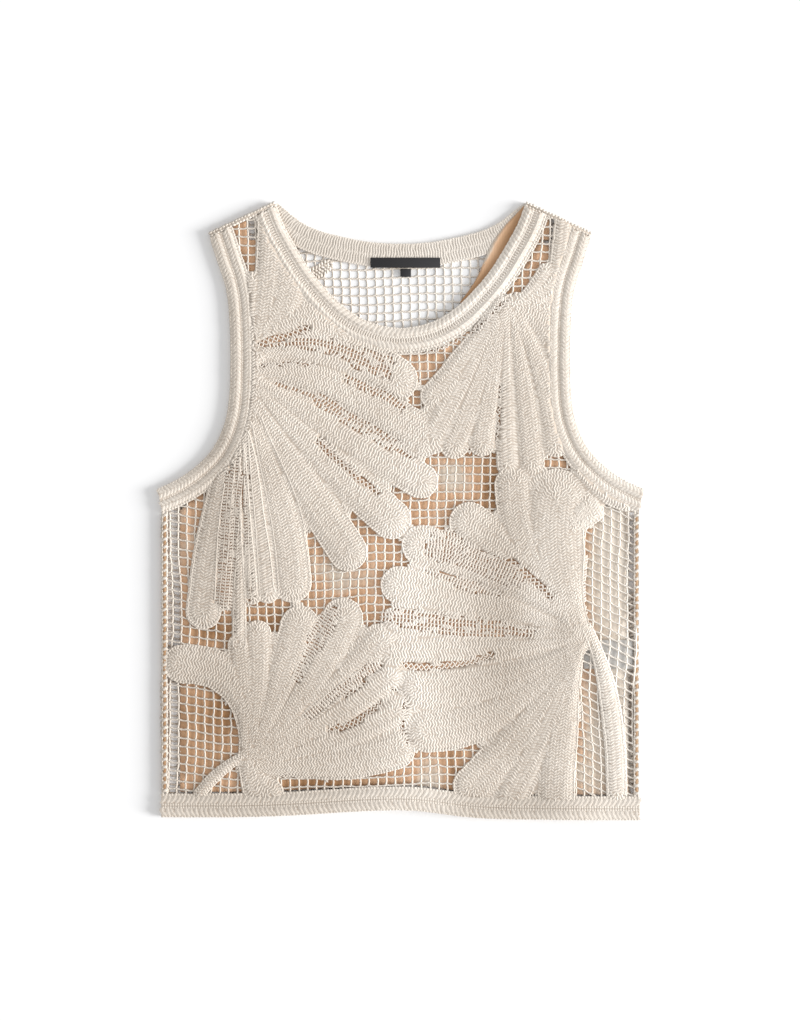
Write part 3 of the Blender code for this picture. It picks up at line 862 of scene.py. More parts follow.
# %% Work the leaves
LEAF_HEIGHT, CORD_HEIGHT, LACE_HEIGHT = 1.2, 1.45, 1.15  # middles of the yarn over the cloth's underside
CORD_PITCH, CORD_WIDTH = 3.6, 1.7
CORDED = ("left", "side_leaf")  # fans whose lobes are outlined with a raised cord
fans, first = {}, 0
for fan, lobes in FANS.items():
    numbers = range(first, first + len(lobes))
    first += len(lobes)
    parts = fill_lobes(front, numbers, post, edge_stitch, on_front(LEAF_HEIGHT), STITCH_PITCH, 2, lace_area)
    if fan in CORDED:
        for lobe in front_lobes[numbers.start : numbers.stop]:
            spots, way, pitch, _ = along_line(lobe.row(1.0)[0], CORD_PITCH)
            keep = front_area[cell_of(spots)] & ~lace_area[cell_of(spots)]
            level = on_front(CORD_HEIGHT)
            parts.append((*sew(bead, spots[keep], way[keep], pitch, CORD_WIDTH, level, uneven=0.5), yarn))
    fans[fan] = add_piece(f"fan_{fan}", parts, smooth=False)

# %% Work the lace
LACE_SHAPES = {"ladder": lace_stitch, "loose": loose_stitch, "holes": zigzag}
parts = []
for which, number, spots, way, pitch in lace_rows:
    height = ROWS_OF[which][0]
    shape = LACE_SHAPES[which]
    for turn in (0, 1) if which == "holes" else (0,):
        picked = slice((turn + number) % 2, None, 2) if which == "holes" else slice(None)
        slant = mirrored(shape) if turn or (which != "holes" and number % 2) else shape
        level = on_front(LACE_HEIGHT)
        parts.append((*sew(slant, spots[picked], way[picked], pitch, height, level, uneven=0.7), yarn))
lace = add_piece("lace_rows", parts, smooth=False)

# %% [markdown]
# ## Ground and net
#
# Behind the close rows lies a thin ground, the loops that hold the posts together and that no light
# passes; its deeper colour is painted shade between the stitches. Everywhere else there is only the net:
# square meshes about 8 mm wide, whose cords run from knot to knot and sag a little. The net was worked by
# hand, so its lines drift.

# %% A thin ground
SOFTENED = 3  # times that the steps of the raster at its rim are evened out


def ground(area, low, high, every=3):
    """A thin sheet under the close parts of the leaves: points and triangles, closed all round."""
    cells = area[every // 2 : -every : every, every // 2 : -every : every]
    rows_count, columns_count = cells.shape
    corner = np.full((rows_count + 1, columns_count + 1), -1)
    row, column = np.nonzero(cells)
    for r, c in ((0, 0), (0, 1), (1, 0), (1, 1)):
        corner[row + r, column + c] = 0
    used = np.argwhere(corner == 0)
    corner[used[:, 0], used[:, 1]] = np.arange(len(used))
    xy = np.stack([grid_x[0, ::every][used[:, 1]], grid_y[::every, 0][used[:, 0]]], 1).astype(float)
    a, b = corner[row, column], corner[row, column + 1]
    c, d = corner[row + 1, column + 1], corner[row + 1, column]
    top = np.concatenate([np.stack([a, b, c], 1), np.stack([a, c, d], 1)])
    sides = np.concatenate([top[:, [0, 1]], top[:, [1, 2]], top[:, [2, 0]]])
    found = {tuple(side) for side in sides.tolist()}
    rim = np.array([side for side in found if (side[1], side[0]) not in found])
    for _ in range(SOFTENED):
        total, count = np.zeros_like(xy), np.zeros(len(xy))
        for i, j in ((0, 1), (1, 0)):
            np.add.at(total, rim[:, i], xy[rim[:, j]])
            np.add.at(count, rim[:, i], 1)
        edge = count > 0
        xy[edge] = (xy[edge] + total[edge] / count[edge, None]) / 2
    size = len(xy)
    upper = np.column_stack([xy, high(xy[:, 0], xy[:, 1])])
    lower = np.column_stack([xy, low(xy[:, 0], xy[:, 1])])
    near, far = rim.T
    wall = np.concatenate([np.stack([far, near, near + size], 1), np.stack([far, near + size, far + size], 1)])
    return np.concatenate([upper, lower]), np.concatenate([top, top[:, ::-1] + size, wall])


# %% Ground under the leaves
GROUND_LOW, GROUND_HIGH = 0.35, 1.3  # over the cloth's underside
GROUND_SHORT = 2  # mm that it stays inside a leaf's edge
tight = inner(front.leaf, GROUND_SHORT) & ~open_area & grown(front_area, UNDER_BANDS)
front_ground = ground(tight, on_front(GROUND_LOW), on_front(GROUND_HIGH))
print(f"ground: {tight.sum() / 1e6:.3f} square metres, {len(front_ground[1])} triangles")

# %% Cords from knot to knot
MESH = 8.0  # from knot to knot
NET_COLUMNS, NET_LINES, NET_SHIFT = np.arange(-29, 30), np.arange(-6, 80), 1.5
KNOT_OFF = 0.35  # mm that a knot strays


def knots(x, y, lean):
    """Where the knots of an even net lie once it has drifted, by waves of some mm."""
    drift_x = 1.6 * np.sin(y / 47 + x / 90) + 0.9 * np.sin(y / 19 + 1.3) * np.cos(x / 60)
    drift_y = 1.8 * np.sin(x / 53 + 0.7) + 0.8 * np.sin(x / 17) * np.cos(y / 70)
    return x + drift_x, y + drift_y + lean(x)


def net(area, lean, level, tall):
    """Cords between the knots of a net, where the middle of a cord is in the area."""
    kx, ky = knots(*np.meshgrid(NET_COLUMNS * MESH + NET_SHIFT, NET_LINES * MESH), lean)
    kx += rng.normal(0, KNOT_OFF, kx.shape)
    ky += rng.normal(0, KNOT_OFF, ky.shape)
    every, but_last, but_first = slice(None), slice(0, -1), slice(1, None)
    parts = []
    for a, b in (((every, but_last), (every, but_first)), ((but_last, every), (but_first, every))):
        start = np.stack([kx[a].ravel(), ky[a].ravel()], 1)
        end = np.stack([kx[b].ravel(), ky[b].ravel()], 1)
        middle, run = (start + end) / 2, end - start
        keep = area[cell_of(middle)]
        length = np.linalg.norm(run[keep], axis=1)
        way = run[keep] / length[:, None]
        parts.append(sew(cord, middle[keep], way, length, MESH, level, tall, uneven=0.25))
    return joined(*parts)


# %% Knot the front's net
NET_HEIGHT, NET_THICK = 0.85, 0.9
TUCKED = 2  # mm that the net goes on under the bands and the leaves
LEAN_FROM, LEAN_OVER, LEAN_RIGHT, LEAN_LEFT = 165, 60, 0.45, 0.12


def front_lean(x):
    """The net hangs askew near the sides, most of all at the right."""
    right, left = np.clip(x - LEAN_FROM, 0, LEAN_OVER), np.clip(-LEAN_FROM - x, 0, LEAN_OVER)
    return -LEAN_RIGHT * right + LEAN_LEFT * left


open_front = grown(front_area, TUCKED) & ~inner(front.leaf, TUCKED)
net_front = net(open_front, front_lean, over(cloth, NET_HEIGHT), NET_THICK)
# the ground takes the painted shade colour
front_net = add_piece("front_net", [(*front_ground, yarn_painted_shade), (*net_front, yarn)])
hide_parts("front_panel")

# %% [markdown]
# ## Bands
#
# The neck, the arms and the hem are finished with a band of two raised ribs and a groove between them.
# Each rib is a row of slanted loops. The band's edge is the same line as in the CAD model, given here
# again by a few points, and rows are drawn at a distance inward from it.

# %% Edges of the garment
# the right half of each edge, from the centre line or the shoulder outwards
FRONT_NECK = [(0, 457.5), (28, 462.5), (50, 475), (67, 491), (83, 510), (97, 532), (109, 554), (117, 575)]
BACK_NECK = [(0, 535.7), (30, 537.5), (60, 543.5), (80, 549.5), (94, 557), (106, 566.5), (117, 575)]
ARMHOLE = [
    (178.5, 546), (170.5, 521), (162, 494), (158.7, 465), (157.8, 425), (159, 392),
    (163.5, 368), (173, 347), (184, 334), (197, 323), (210, 315), (226, 307.5),
]
SEAM = 4.3  # the shoulder seam takes this much of each band's end
END_TURN = 18.0  # over this length a band's rows turn to lie square to the seam
SIDE_WAY = np.array((-4.0, -20.4)) / math.hypot(4.0, 20.4)
shoulder = np.array(ARMHOLE[0]) - np.array(FRONT_NECK[-1])
SHOULDER_WAY = shoulder / np.linalg.norm(shoulder)
NECK_WIDTH, HEM_WIDTH, ARM_WIDTH = 21.5, 21.0, 22.5
HALF_HEM, HEM_POINTS = 222.5, 60
RISE, RISE_AT, RISE_LEFT, RISE_RIGHT, TILT = 8.0, 2, 95.0, 50.0, 2.8  # the hem's wave and its slant, in mm


def hem_y(x):
    """Lower edge of the hem band."""
    spread = np.where(x < RISE_AT, RISE_LEFT, RISE_RIGHT)
    return RISE * np.exp(-(((x - RISE_AT) / spread) ** 2)) + TILT * (0.5 - x / (2 * HALF_HEM))


# %% Rows at a distance from an edge


class Edge:
    """A smooth edge and the way inward from each of its points."""

    def __init__(self, points, start_way=None, end_way=None):
        self.line = curve(points)
        way = -unit(left_of(np.gradient(self.line, axis=0)))
        run = run_of(self.line)
        for end, distance in ((start_way, run), (end_way, run[-1] - run)):
            if end is not None:
                share = (1 - smooth_step(distance / END_TURN))[:, None]
                way = way * (1 - share) + np.array(end) * share
        self.way = unit(way)

    def inward(self, distance, flip):
        return (self.line + self.way * distance) * (flip, 1)


def shortened(points, distance):
    """An edge without its first stretch, where the seam lies."""
    a, b = np.array(points[0], float), np.array(points[1], float)
    return [tuple(a + (b - a) / np.linalg.norm(b - a) * distance), *points[1:]]


def neck(half):
    """A whole neck edge from its right half, without the seams."""
    half = shortened(half[::-1], SEAM)[::-1]
    left_way = (-SHOULDER_WAY[0], SHOULDER_WAY[1])
    return Edge([(-x, y) for x, y in reversed(half[1:])] + list(half), left_way, SHOULDER_WAY)


# %% Lay out the bands
hem_x = np.linspace(-HALF_HEM, HALF_HEM, HEM_POINTS)
hem = Edge(list(zip(hem_x, hem_y(hem_x)))[::-1])
armhole = Edge(shortened(ARMHOLE, SEAM), -SHOULDER_WAY, SIDE_WAY)
edges = {  # the edge, the band's width, and -1 for the left side
    "neckband_front": (neck(FRONT_NECK), NECK_WIDTH, 1),
    "neckband_back": (neck(BACK_NECK), NECK_WIDTH, 1),
    "hem_band_front": (hem, HEM_WIDTH, 1),
    "hem_band_back": (hem, HEM_WIDTH, 1),
}
for layer in ("front", "back"):
    edges[f"armhole_band_{layer}_right"] = (armhole, ARM_WIDTH, 1)
    edges[f"armhole_band_{layer}_left"] = (armhole, ARM_WIDTH, -1)
for name, (edge, width, _) in edges.items():
    print(f"{name}: {run_of(edge.line)[-1] / 1000:.2f} m long, {width} mm wide")

# %% A core from the CAD solid
SAME_PLACE = 0.00002  # points nearer to each other than this many metres become one
CORE_INSET = 0.0003  # the core lies this far inside the CAD solid


def copy_of(node, name):
    """A copy of a CAD node, merged, selected and open in edit mode."""
    made = bpy.data.objects.new(name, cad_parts[node].data.copy())
    bpy.context.scene.collection.objects.link(made)
    bpy.context.view_layer.objects.active = made
    made.select_set(True)
    bpy.ops.object.mode_set(mode="EDIT")
    bpy.ops.mesh.select_all(action="SELECT")
    bpy.ops.mesh.remove_doubles(threshold=SAME_PLACE)
    return made


def core_of(node, finish):
    """A copy of a CAD node, shrunk a little: points in mm, triangles and material."""
    made = copy_of(node, f"core of {node}")
    bpy.ops.mesh.normals_make_consistent(inside=False)
    bpy.ops.transform.shrink_fatten(value=-CORE_INSET)
    bpy.ops.mesh.quads_convert_to_tris()
    bpy.ops.object.mode_set(mode="OBJECT")
    points, faces = shape_of(made)
    return points / MM + (0, LENGTH / 2, 0), faces, finish


# %% Rows of the bands
RIM = (-0.02, 0.06, bead, 2.9, 1, -0.35, 1.0)  # rounds off the edge
BORDER = (0.94, 1.04, bead, 2.9, 1, -0.2, 1.0)  # closes the joint to the panel
# from, to (shares of the width, from the edge), stitch, pitch, slant, height over the CAD solid, tall
NECK_ROWS = [
    RIM,
    (0.02, 0.36, loop, 4.4, 1, -0.15, 0.7),
    (0.36, 0.46, bead, 2.4, 1, -0.25, 0.7),
    (0.46, 0.62, loose_post, 2.4, 1, -0.15, 0.6),
    (0.62, 0.95, loop, 4.0, -1, -0.15, 0.7),
    BORDER,
    (1.03, 1.14, bead, 2.9, 1, -0.9, 1.0),  # the loops that take up the net
]
HEM_ROWS = [
    RIM,
    (0.02, 0.38, loop, 4.4, -1, -0.15, 0.75),
    (0.38, 0.48, bead, 2.4, 1, -0.2, 0.8),
    (0.5, 0.6, bead, 2.4, 1, -0.2, 0.8),
    (0.6, 0.96, loop, 4.4, 1, -0.15, 0.75),
    BORDER,
]
ARM_ROWS = [
    RIM,
    (0.02, 0.24, loop, 3.6, -1, -0.15, 0.65),
    (0.23, 0.42, loop, 3.6, 1, -0.15, 0.6),
    (0.44, 0.52, bead, 2.3, 1, -0.45, 0.9),
    (0.53, 0.73, loop, 3.4, -1, -0.15, 0.65),
    (0.73, 0.94, loop, 3.4, 1, -0.15, 0.6),
    BORDER,
]
INSIDE_ROWS = [
    (-0.02, 0.06, bead, 2.6, 1, -0.2, 0.8),
    (0.05, 0.52, loose_post, 2.5, 1, 0.0, 0.45),
    (0.5, 0.96, loose_post, 2.5, 1, 0.0, 0.45),
    (0.93, 1.02, bead, 2.6, 1, -0.1, 0.8),
]
OUTSIDE_ROWS = {"neckband": NECK_ROWS, "hem": HEM_ROWS, "armhole": ARM_ROWS}

# %% Work the bands
TOP_REACH = 5  # mm that a band's height is carried on past its edge
for name, (edge, width, flip) in edges.items():
    inside = "back" in name
    band_rows = INSIDE_ROWS if inside else OUTSIDE_ROWS[name.split("_")[0]]
    top = tops(name, TOP_REACH)
    parts = []
    for start, end, shape, pitch, slant, height, tall in band_rows:
        spots, way, true_pitch, _ = along_line(edge.inward((start + end) / 2 * width, flip), pitch)
        shape = shape if slant > 0 else mirrored(shape)
        row = sew(shape, spots, way, true_pitch, (end - start) * width, over(top, height), tall, uneven=0.6)
        parts.append((*row, yarn))
    # the front's band cores take the painted shade colour
    core = core_of(name, yarn if inside else yarn_painted_shade)
    add_piece(f"crochet_{name}", [core, *parts], smooth=False)
    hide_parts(name)

# %% [markdown]
# ## Back panel
#
# The back is the same crochet, turned over, and lies on the table. It shows in the neck opening, as a
# plain net with one leaf's tip at the left, and past the lining's edges at the sides. Lobes that the
# front covers get fewer and larger stitches.

# %% Lay out the back
BACK_FANS = ["upper_left", "left", "right", "lower_left", "under_arm", "upper_right"]
YOKE = [
    (150, 440, 128, 480, 96, 530, 22, 0.8),
    (-150, 440, -128, 470, -112, 520, 20, 0.8),
    (212, 205, 214, 110, 212, 25, 8, 0.9),
    (-112, 505, -88, 506, -64, 520, 6, 0.8),  # this one shows in the neck opening
]
YOKE_LINE = 455  # above it the back is net, but for the yoke's own leaves
back_lobes = [Lobe(numbers, -1) for fan in BACK_FANS for numbers in FANS[fan]]
back_lobes += [Lobe(numbers) for numbers in YOKE]
back = Layout(back_lobes, back_area)
back.leaf &= (grid_y < YOKE_LINE) | (back.owner >= len(back_lobes) - len(YOKE))
hidden = len(back_lobes) - 1  # the front covers all lobes but the last
print(f"{len(back_lobes)} lobes cover {(back.leaf & back_area).sum() / back_area.sum():.0%} of the back")

# %% Work the back
BACK_GROUND, BACK_NET_HEIGHT, BACK_NET_THICK, BACK_LEAF_HEIGHT = (0.35, 0.75), 0.5, 0.55, 0.95
BACK_LEAN = 0.0002  # the net hangs in a faint curve
HIDDEN_ROWS, SEEN_ROWS = (4.4, 1), (3.2, 2)  # stitch pitch, and lines of stitches to a row
back_tight = inner(back.leaf, 1) & back_area
seen_tight = back_tight & (back.owner == hidden)
back_ground = joined(
    ground(back_tight & ~seen_tight, *map(flat, BACK_GROUND), every=6),
    ground(seen_tight, *map(flat, BACK_GROUND), every=2),
)
open_back = grown(back_area, TUCKED) & ~inner(back.leaf, TUCKED)
net_back = net(open_back, lambda x: BACK_LEAN * x * x, flat(BACK_NET_HEIGHT), BACK_NET_THICK)
# the ground takes the painted shade colour
back_net = add_piece("back_net", [(*back_ground, yarn_painted_shade), (*net_back, yarn)])
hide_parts("back_panel")
leaf_parts = []
for numbers, rows in ((range(hidden), HIDDEN_ROWS), (range(hidden, len(back_lobes)), SEEN_ROWS)):
    level = flat(BACK_LEAF_HEIGHT)
    leaf_parts += fill_lobes(back, numbers, back_post, back_post, level, *rows, skip=~back_area)
back_leaves = add_piece("back_leaves", leaf_parts)

# %% [markdown]
# ## Lining
#
# Behind the front hangs a plain tan jersey. It is the only smooth cloth here, so it stays a thin sheet
# that follows the CAD solid, with the slight ripples of loose cloth. Spots of painted light and painted
# shade lie on its colour: peach where it lies close under the net, brown where it falls back into shade.

# %% Jersey
# x, y, reach in x and y, and how much paler or browner the jersey is there: painted light and painted shade
PAINTED_LIGHT_AND_SHADE = [
    (84, 310, 12, 30, -0.6), (-175, 176, 22, 12, -0.6), (-160, 110, 18, 26, -0.5), (-180, 90, 26, 40, -0.3),
    (-118, 183, 18, 18, -0.6), (-80, 32, 40, 9, -0.65), (50, 50, 7, 24, -0.5), (28, 38, 16, 20, 0.3),
    (22, 425, 26, 14, 0.1), (50, 318, 26, 18, 0.3), (-55, 232, 42, 24, 0.2), (198, 240, 22, 90, 0.5),
    (205, 110, 18, 80, 0.4), (178, 60, 20, 60, 0.25), (-205, 260, 14, 90, 0.1),
]
USUAL_TONE, LACE_PAINTED_LIGHT = 0.58, 0.66  # its usual tone, and behind the lace a paler peach: painted light in the holes
jersey, tree, shader, place = new_material("Tan cotton jersey", roughness=0.85, Sheen_Weight=0.1)
tone = add_node(tree, "ShaderNodeAttribute", {"attribute_name": "tone_and_painted_light"})
clouds = noise(tree, place, scale=45, detail=3)
spread = add_node(tree, "ShaderNodeMath", {"operation": "MULTIPLY_ADD"}, {1: 0.5, 2: -0.25}, {0: clouds})
both = {0: tone.outputs["Fac"], 1: spread.outputs[0]}
mixed = add_node(tree, "ShaderNodeMath", {"use_clamp": True}, links=both)
# brown and cream at the ramp's ends are reached where painted shade and painted light are laid on
JERSEY_COLOURS = [(0.0, "#B0845A"), (0.45, "#D6AC86"), (0.66, "#EBC29E"), (0.82, "#EADBC9"), (1.0, "#F6ECDF")]
colour_by(tree, shader, mixed.outputs[0], JERSEY_COLOURS)
wales = wave(tree, place, "X", Scale=130, Distortion=1.5, Detail=1)  # drawn twice as wide as real, to show
raise_by(tree, shader, wales, strength=0.3, distance=0.0002)
print("jersey:", len(PAINTED_LIGHT_AND_SHADE), "paler or browner places")

# %% Cut the lining from the CAD solid
STRAP_FROM = 534  # above this height the lining is cut narrower
STRAP_EDGES = ((-1, -142.8), (1, 139.5))  # -1 for the left strap, and x of the strap's right edge
LINING_CUTS = 3  # of each edge, so that it can ripple
lining = copy_of("lining_front", "lining_cloth")
bpy.ops.mesh.normals_make_consistent(inside=False)
bpy.ops.mesh.select_all(action="DESELECT")
body = bmesh.from_edit_mesh(lining.data)
for face in body.faces:
    face.select_set(face.normal.z < 0.5)  # all but the upper side
bmesh.update_edit_mesh(lining.data)
bpy.ops.mesh.delete(type="FACE")
for side, edge in STRAP_EDGES:
    bpy.ops.mesh.select_all(action="DESELECT")
    for face in body.faces:
        middle = face.calc_center_median() / MM
        face.select_set(middle.y > STRAP_FROM - LENGTH / 2 and middle.x * side > 0)
    bmesh.update_edit_mesh(lining.data)
    bpy.ops.mesh.bisect(plane_co=(edge * MM, 0, 0), plane_no=(1, 0, 0), clear_outer=True)
    body = bmesh.from_edit_mesh(lining.data)
bpy.ops.mesh.select_all(action="SELECT")
bpy.ops.mesh.subdivide(number_cuts=LINING_CUTS)
bpy.ops.object.mode_set(mode="OBJECT")
print("lining's upper side:", len(lining.data.polygons), "faces")

# %% Lay the lining
RIPPLE, SUNK, LIFT = 0.25, 0.3, 1.4  # mm that it ripples, lies lower, and comes up close behind the lace
NEAR_LACE, SPREAD = 1.4, 4  # widen the places behind the lace and soften their edges
SEAM_FROM, SEAM_OVER, SEAM_BELOW, SEAM_REACH = 185, 18, 330, 7  # at the right it reaches on to the seam
LINING_THICK = 0.0006


def finish_jersey(made, thickness, offset):
    """Gives a sheet its thickness and its material."""
    solid = made.modifiers.new("Thickness", "SOLIDIFY")
    solid.thickness, solid.offset = thickness, offset
    bpy.ops.object.modifier_apply(modifier=solid.name)
    made.data.materials.clear()
    made.data.materials.append(jersey)
    bpy.ops.object.shade_smooth()
    made.select_set(False)
    settle(made)


spots = points_of(lining.data)
x, y = spots[:, 0] / MM, spots[:, 1] / MM + LENGTH / 2
against_lace = at(np.minimum(1, NEAR_LACE * blurred(open_area.astype(float), SPREAD)), x, y)
spots[:, 2] += (RIPPLE * np.sin(x / 9 + 2 * np.sin(y / 31)) * np.sin(y / 23) - SUNK) * MM
spots[:, 2] += LIFT * against_lace * MM
spots[:, 0] += SEAM_REACH * smooth_step(np.clip((x - SEAM_FROM) / SEAM_OVER, 0, 1)) * (y < SEAM_BELOW) * MM
lining.data.vertices.foreach_set("co", spots.ravel())
# painted light and shade: soft spots, and a paler peach behind the lace
pale = USUAL_TONE + tones(PAINTED_LIGHT_AND_SHADE, x, y)
set_tone_and_painted_light(lining.data, pale + (LACE_PAINTED_LIGHT - pale) * against_lace)
finish_jersey(lining, LINING_THICK, -1)
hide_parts("lining_front")

# %% [markdown]
# ## The lining's edge in the neck opening
#
# At the right of the neck the lining's edge has rolled out past the neckband and lies there as a narrow
# tan strip. Its brown by the band is painted shadow of the neckband, which goes pale towards its free
# edge. A flat grid is enough: its rows are laid along the band's edge, one side sinks to the back
# neckband, and the other stays hidden under the front's.

# %% Lay the lining's edge
# x, y on the front neckband's edge at the right, and how far the lining shows past it there
FACING = [
    (117, 573, 0.5), (112, 560, 6), (104, 544, 11), (94, 527, 12),
    (85, 512, 10), (77, 502, 6.5), (68, 492, 4), (56, 481, 1),
]
FACING_STEP, FACING_CUTS, FACING_THICK = 3.0, 6, 0.0004
TUCK = 3.0  # mm that it goes on under the band
UNDER_BAND, NECK_BACK_TOP, HALF_DOWN = 0.5, 3.4, 0.45  # it sinks to just over the back neckband
SAG_OVER, SHADOW_FADE_OVER = 10, 11  # mm over which it sinks, and over which its painted shadow fades
NECKBAND_SHADOW, SHADOW_FADE, SHADOW_FADE_LATE = 0.15, 0.7, 1.5  # painted shadow: its tone at the band, what is added at its edge, and how late
line = curve(FACING, FACING_STEP)
inward = -unit(left_of(np.gradient(line[:, :2], axis=0)))
bpy.ops.mesh.primitive_grid_add(x_subdivisions=len(line) - 1, y_subdivisions=FACING_CUTS, size=2)
facing = bpy.context.active_object
facing.name = "lining_edge_in_neck"
spots = points_of(facing.data)
along = np.rint((spots[:, 0] + 1) / 2 * (len(line) - 1)).astype(int)
reach = -TUCK + (spots[:, 1] + 1) / 2 * (line[along, 2] + TUCK)
x, y = (line[along, :2] + inward[along] * reach[:, None]).T
under = at(cloth, x, y) - UNDER_BAND
sag = smooth_step(np.clip(reach / SAG_OVER, 0, 1))
z = under * (1 - sag) + np.maximum(NECK_BACK_TOP, HALF_DOWN * under) * sag
facing.data.vertices.foreach_set("co", (np.column_stack([x, y - LENGTH / 2, z]) * MM).ravel())
set_tone_and_painted_light(facing.data, NECKBAND_SHADOW + SHADOW_FADE * np.clip(reach / SHADOW_FADE_OVER, 0, 1) ** SHADOW_FADE_LATE)
bpy.ops.object.mode_set(mode="EDIT")
bpy.ops.mesh.select_all(action="SELECT")
bpy.ops.mesh.normals_make_consistent(inside=False)
bpy.ops.object.mode_set(mode="OBJECT")
finish_jersey(facing, FACING_THICK, 0)

# %% [markdown]
# ## Seams
#
# The sides and shoulders are joined by a narrow row of loops. At the sides the lining's edge is caught
# in it and shows between the loops; its dark brown there is painted shade inside the seam.

# %% Work the seams
# the lining's edge in the seam, in a brown darker than the lining: painted shade
seam_tape_shade = yarn_material("Tan edge of the lining, painted shade in the seam", "#A57E58", "#BA9470", "#CBAC8C")
SIDE_X, SEAM_TOP, SEAM_END = 219.5, 5.2, 287
RUNG_PITCH, RUNG_WIDE, RUNG_DEEP, RUNG_OVER = 7.4, 6.0, 5.0, 0.2
BEADS_OFF, BEADS_PITCH, BEADS_DEEP, LOW_BEADS = 1.9, 3.6, 1.8, 0.8  # on both edges, and low at the outside
SHOULDER_TOP, SHOULDER_MIDDLE, SHOULDER_OFF, SHOULDER_PITCH, SHOULDER_DEEP = 5.3, 2.0, 1.2, 3.2, 2.6
for side, sign in (("left", -1), ("right", 1)):
    low = hem_y(np.array(SIDE_X * sign)) + HEM_WIDTH
    line = np.array([(SIDE_X * sign, low), (SIDE_X * sign, SEAM_END)])
    spots, way, pitch, _ = along_line(line, RUNG_PITCH)
    rungs = sew(thin_post, spots, way, RUNG_WIDE, RUNG_DEEP, flat(SEAM_TOP + RUNG_OVER), uneven=0.8)
    parts = [core_of(f"side_seam_{side}", seam_tape_shade), (*rungs, yarn)]
    for offset in (-BEADS_OFF, BEADS_OFF):
        for z in (SEAM_TOP, LOW_BEADS) if offset * sign > 0 else (SEAM_TOP,):
            spots, way, pitch, _ = along_line(line + (offset, 0), BEADS_PITCH)
            parts.append((*sew(bead, spots, way, pitch, BEADS_DEEP, flat(z), 1.1), yarn))
    made = add_piece(f"crochet_side_seam_{side}", parts)
    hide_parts(f"side_seam_{side}")
    ends = np.array([FRONT_NECK[-1], ARMHOLE[0]]) * (sign, 1)
    square = unit(left_of(np.diff(ends, axis=0)))[0] * sign
    line = ends - square * SHOULDER_MIDDLE
    # the seam's core takes the painted shade colour
    parts = [core_of(f"shoulder_seam_{side}", yarn_painted_shade)]
    for offset in (-SHOULDER_OFF, SHOULDER_OFF):
        spots, way, pitch, _ = along_line(line + square * offset, SHOULDER_PITCH)
        parts.append((*sew(bead, spots, way, pitch, SHOULDER_DEEP, flat(SHOULDER_TOP), 1.2), yarn))
    made = add_piece(f"crochet_shoulder_seam_{side}", parts)
    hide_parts(f"shoulder_seam_{side}")

# %% [markdown]
# ## Labels
#
# A damask label is woven from fine black polyester, dense and nearly flat, with its ends folded under.
# It is stitched inside the back neckband with the size tab under it. The care label is pale satin. All
# three are left bare.

# %% Weave


def woven_material(name, low, high, roughness, thread):
    """A fine weave: threads crossing, drawn a little coarser than the real 0.2 mm."""
    made, tree, shader, place = new_material(name, roughness, Sheen_Weight=0.2)
    across, down = (wave(tree, place, direction, Scale=thread) for direction in "XY")
    weave = add_node(tree, "ShaderNodeMath", {"operation": "MULTIPLY"}, links={0: across, 1: down}).outputs[0]
    colour_by(tree, shader, weave, [(0.0, low), (1.0, high)])
    raise_by(tree, shader, weave, strength=0.4, distance=0.0001)
    return made


damask = woven_material("Black damask label", "#121013", "#2C2A2E", roughness=0.6, thread=400)
satin = woven_material("Pale satin label", "#D2CFCA", "#E6E4E0", roughness=0.4, thread=500)
print("materials:", damask.name, "and", satin.name)

# %% Make the labels
FLAT_WITHIN = 0.02  # radians between faces that count as one
FOLD, FOLD_CUTS, CREASE = 0.0003, 2, math.radians(35)


def label(node, name, finish, bow):
    """A label from its CAD solid: its edges rounded, and bowed a little, bow in mm."""
    made = copy_of(node, name)
    bpy.ops.mesh.dissolve_limited(angle_limit=FLAT_WITHIN)
    bpy.ops.mesh.normals_make_consistent(inside=False)
    bpy.ops.mesh.bevel(offset=FOLD, segments=FOLD_CUTS, affect="EDGES")
    bpy.ops.object.mode_set(mode="OBJECT")
    low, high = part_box(node)
    spots = points_of(made.data)
    across = (spots[:, 0] - (low[0] + high[0]) / 2) / ((high[0] - low[0]) / 2)
    spots[:, 1] += bow * MM * (1 - across**2)
    made.data.vertices.foreach_set("co", spots.ravel())
    made.data.materials.clear()
    made.data.materials.append(finish)
    bpy.ops.object.shade_smooth_by_angle(angle=CREASE)
    made.select_set(False)
    settle(made)
    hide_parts(node)
    return made


neck_label = label("neck_label", "woven_neck_label", damask, -0.4)
size_tab = label("size_tab", "woven_size_tab", damask, 0)
care_label = label("care_label", "satin_care_label", satin, 0)

# %% [markdown]
# ## The sheets
#
# The two panels and the lining are the sheets; here they are only named.

print("sheets: the front's net, the back's net and the lining")

# %% [markdown]
# ## Camera, light and floor
#
# The top is seen from straight above. One large soft light stands low at the right, so that each stitch
# has a lit and a shaded side and the top throws a wide soft shadow to the left, and white walls fill in
# the rest.

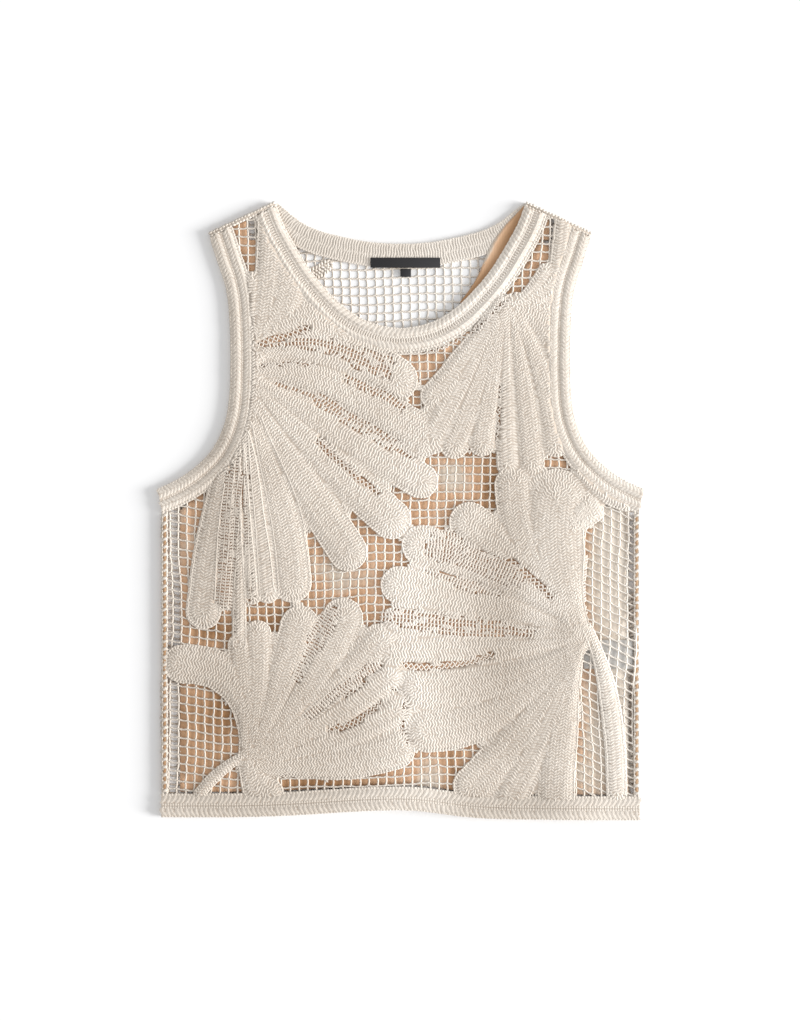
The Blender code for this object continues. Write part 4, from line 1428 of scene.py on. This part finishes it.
# %% Hang the camera
FIELD_HEIGHT = 0.9495  # seen from top to bottom at the height of the cloth, in metres
CLOTH_HEIGHT, CAMERA_OFF = 0.005, 0.0005
camera_data = bpy.data.cameras.new("Camera")
camera_data.lens, camera_data.sensor_width = 100, 36
camera = bpy.data.objects.new("Camera", camera_data)
bpy.context.scene.collection.objects.link(camera)
distance = FIELD_HEIGHT * camera_data.lens / camera_data.sensor_width
camera.location = (-CAMERA_OFF, CAMERA_OFF, distance + CLOTH_HEIGHT)
bpy.context.scene.camera = camera
print("camera at", tuple(round(v, 3) for v in camera.location))

# %% Lay the floor
FLOOR_SIZE = 8  # metres
paper, tree, shader, place = new_material("White paper", roughness=0.9)
colour_by(tree, shader, noise(tree, place, scale=4, detail=2), [(0.0, "#FBFBFC"), (1.0, "#FEFEFE")])
bpy.ops.mesh.primitive_plane_add(size=FLOOR_SIZE)
floor = bpy.context.active_object
floor.name = "floor"
floor.data.materials.append(paper)
floor.select_set(False)
print("floor:", FLOOR_SIZE, "m wide")

# %% Light it
WALLS, KEY_STRENGTH = 0.65, 5.2
KEY_HEIGHT, KEY_WIDTH, KEY_FORWARD = math.radians(15), math.radians(28), -0.1
world = bpy.data.worlds.new("Studio")
bpy.context.scene.world = world
world.use_nodes = True
background = world.node_tree.nodes["Background"]
background.inputs["Color"].default_value = linear("#FFFFFF")
background.inputs["Strength"].default_value = WALLS
key_data = bpy.data.lights.new("Key", "SUN")
key_data.energy, key_data.angle = KEY_STRENGTH, KEY_WIDTH
key = bpy.data.objects.new("Key", key_data)
bpy.context.scene.collection.objects.link(key)
toward_key = Vector((math.cos(KEY_HEIGHT), KEY_FORWARD, math.sin(KEY_HEIGHT)))
key.rotation_euler = toward_key.to_track_quat("Z", "Y").to_euler()
bpy.context.scene.view_settings.view_transform = "Standard"
print("key light:", KEY_STRENGTH, "walls:", WALLS)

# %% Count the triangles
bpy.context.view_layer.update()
pieces = [thing for thing in bpy.data.objects if thing.type == "MESH" and not thing.hide_render]
print("triangles in all:", sum(len(thing.data.loop_triangles) or len(thing.data.polygons) for thing in pieces))
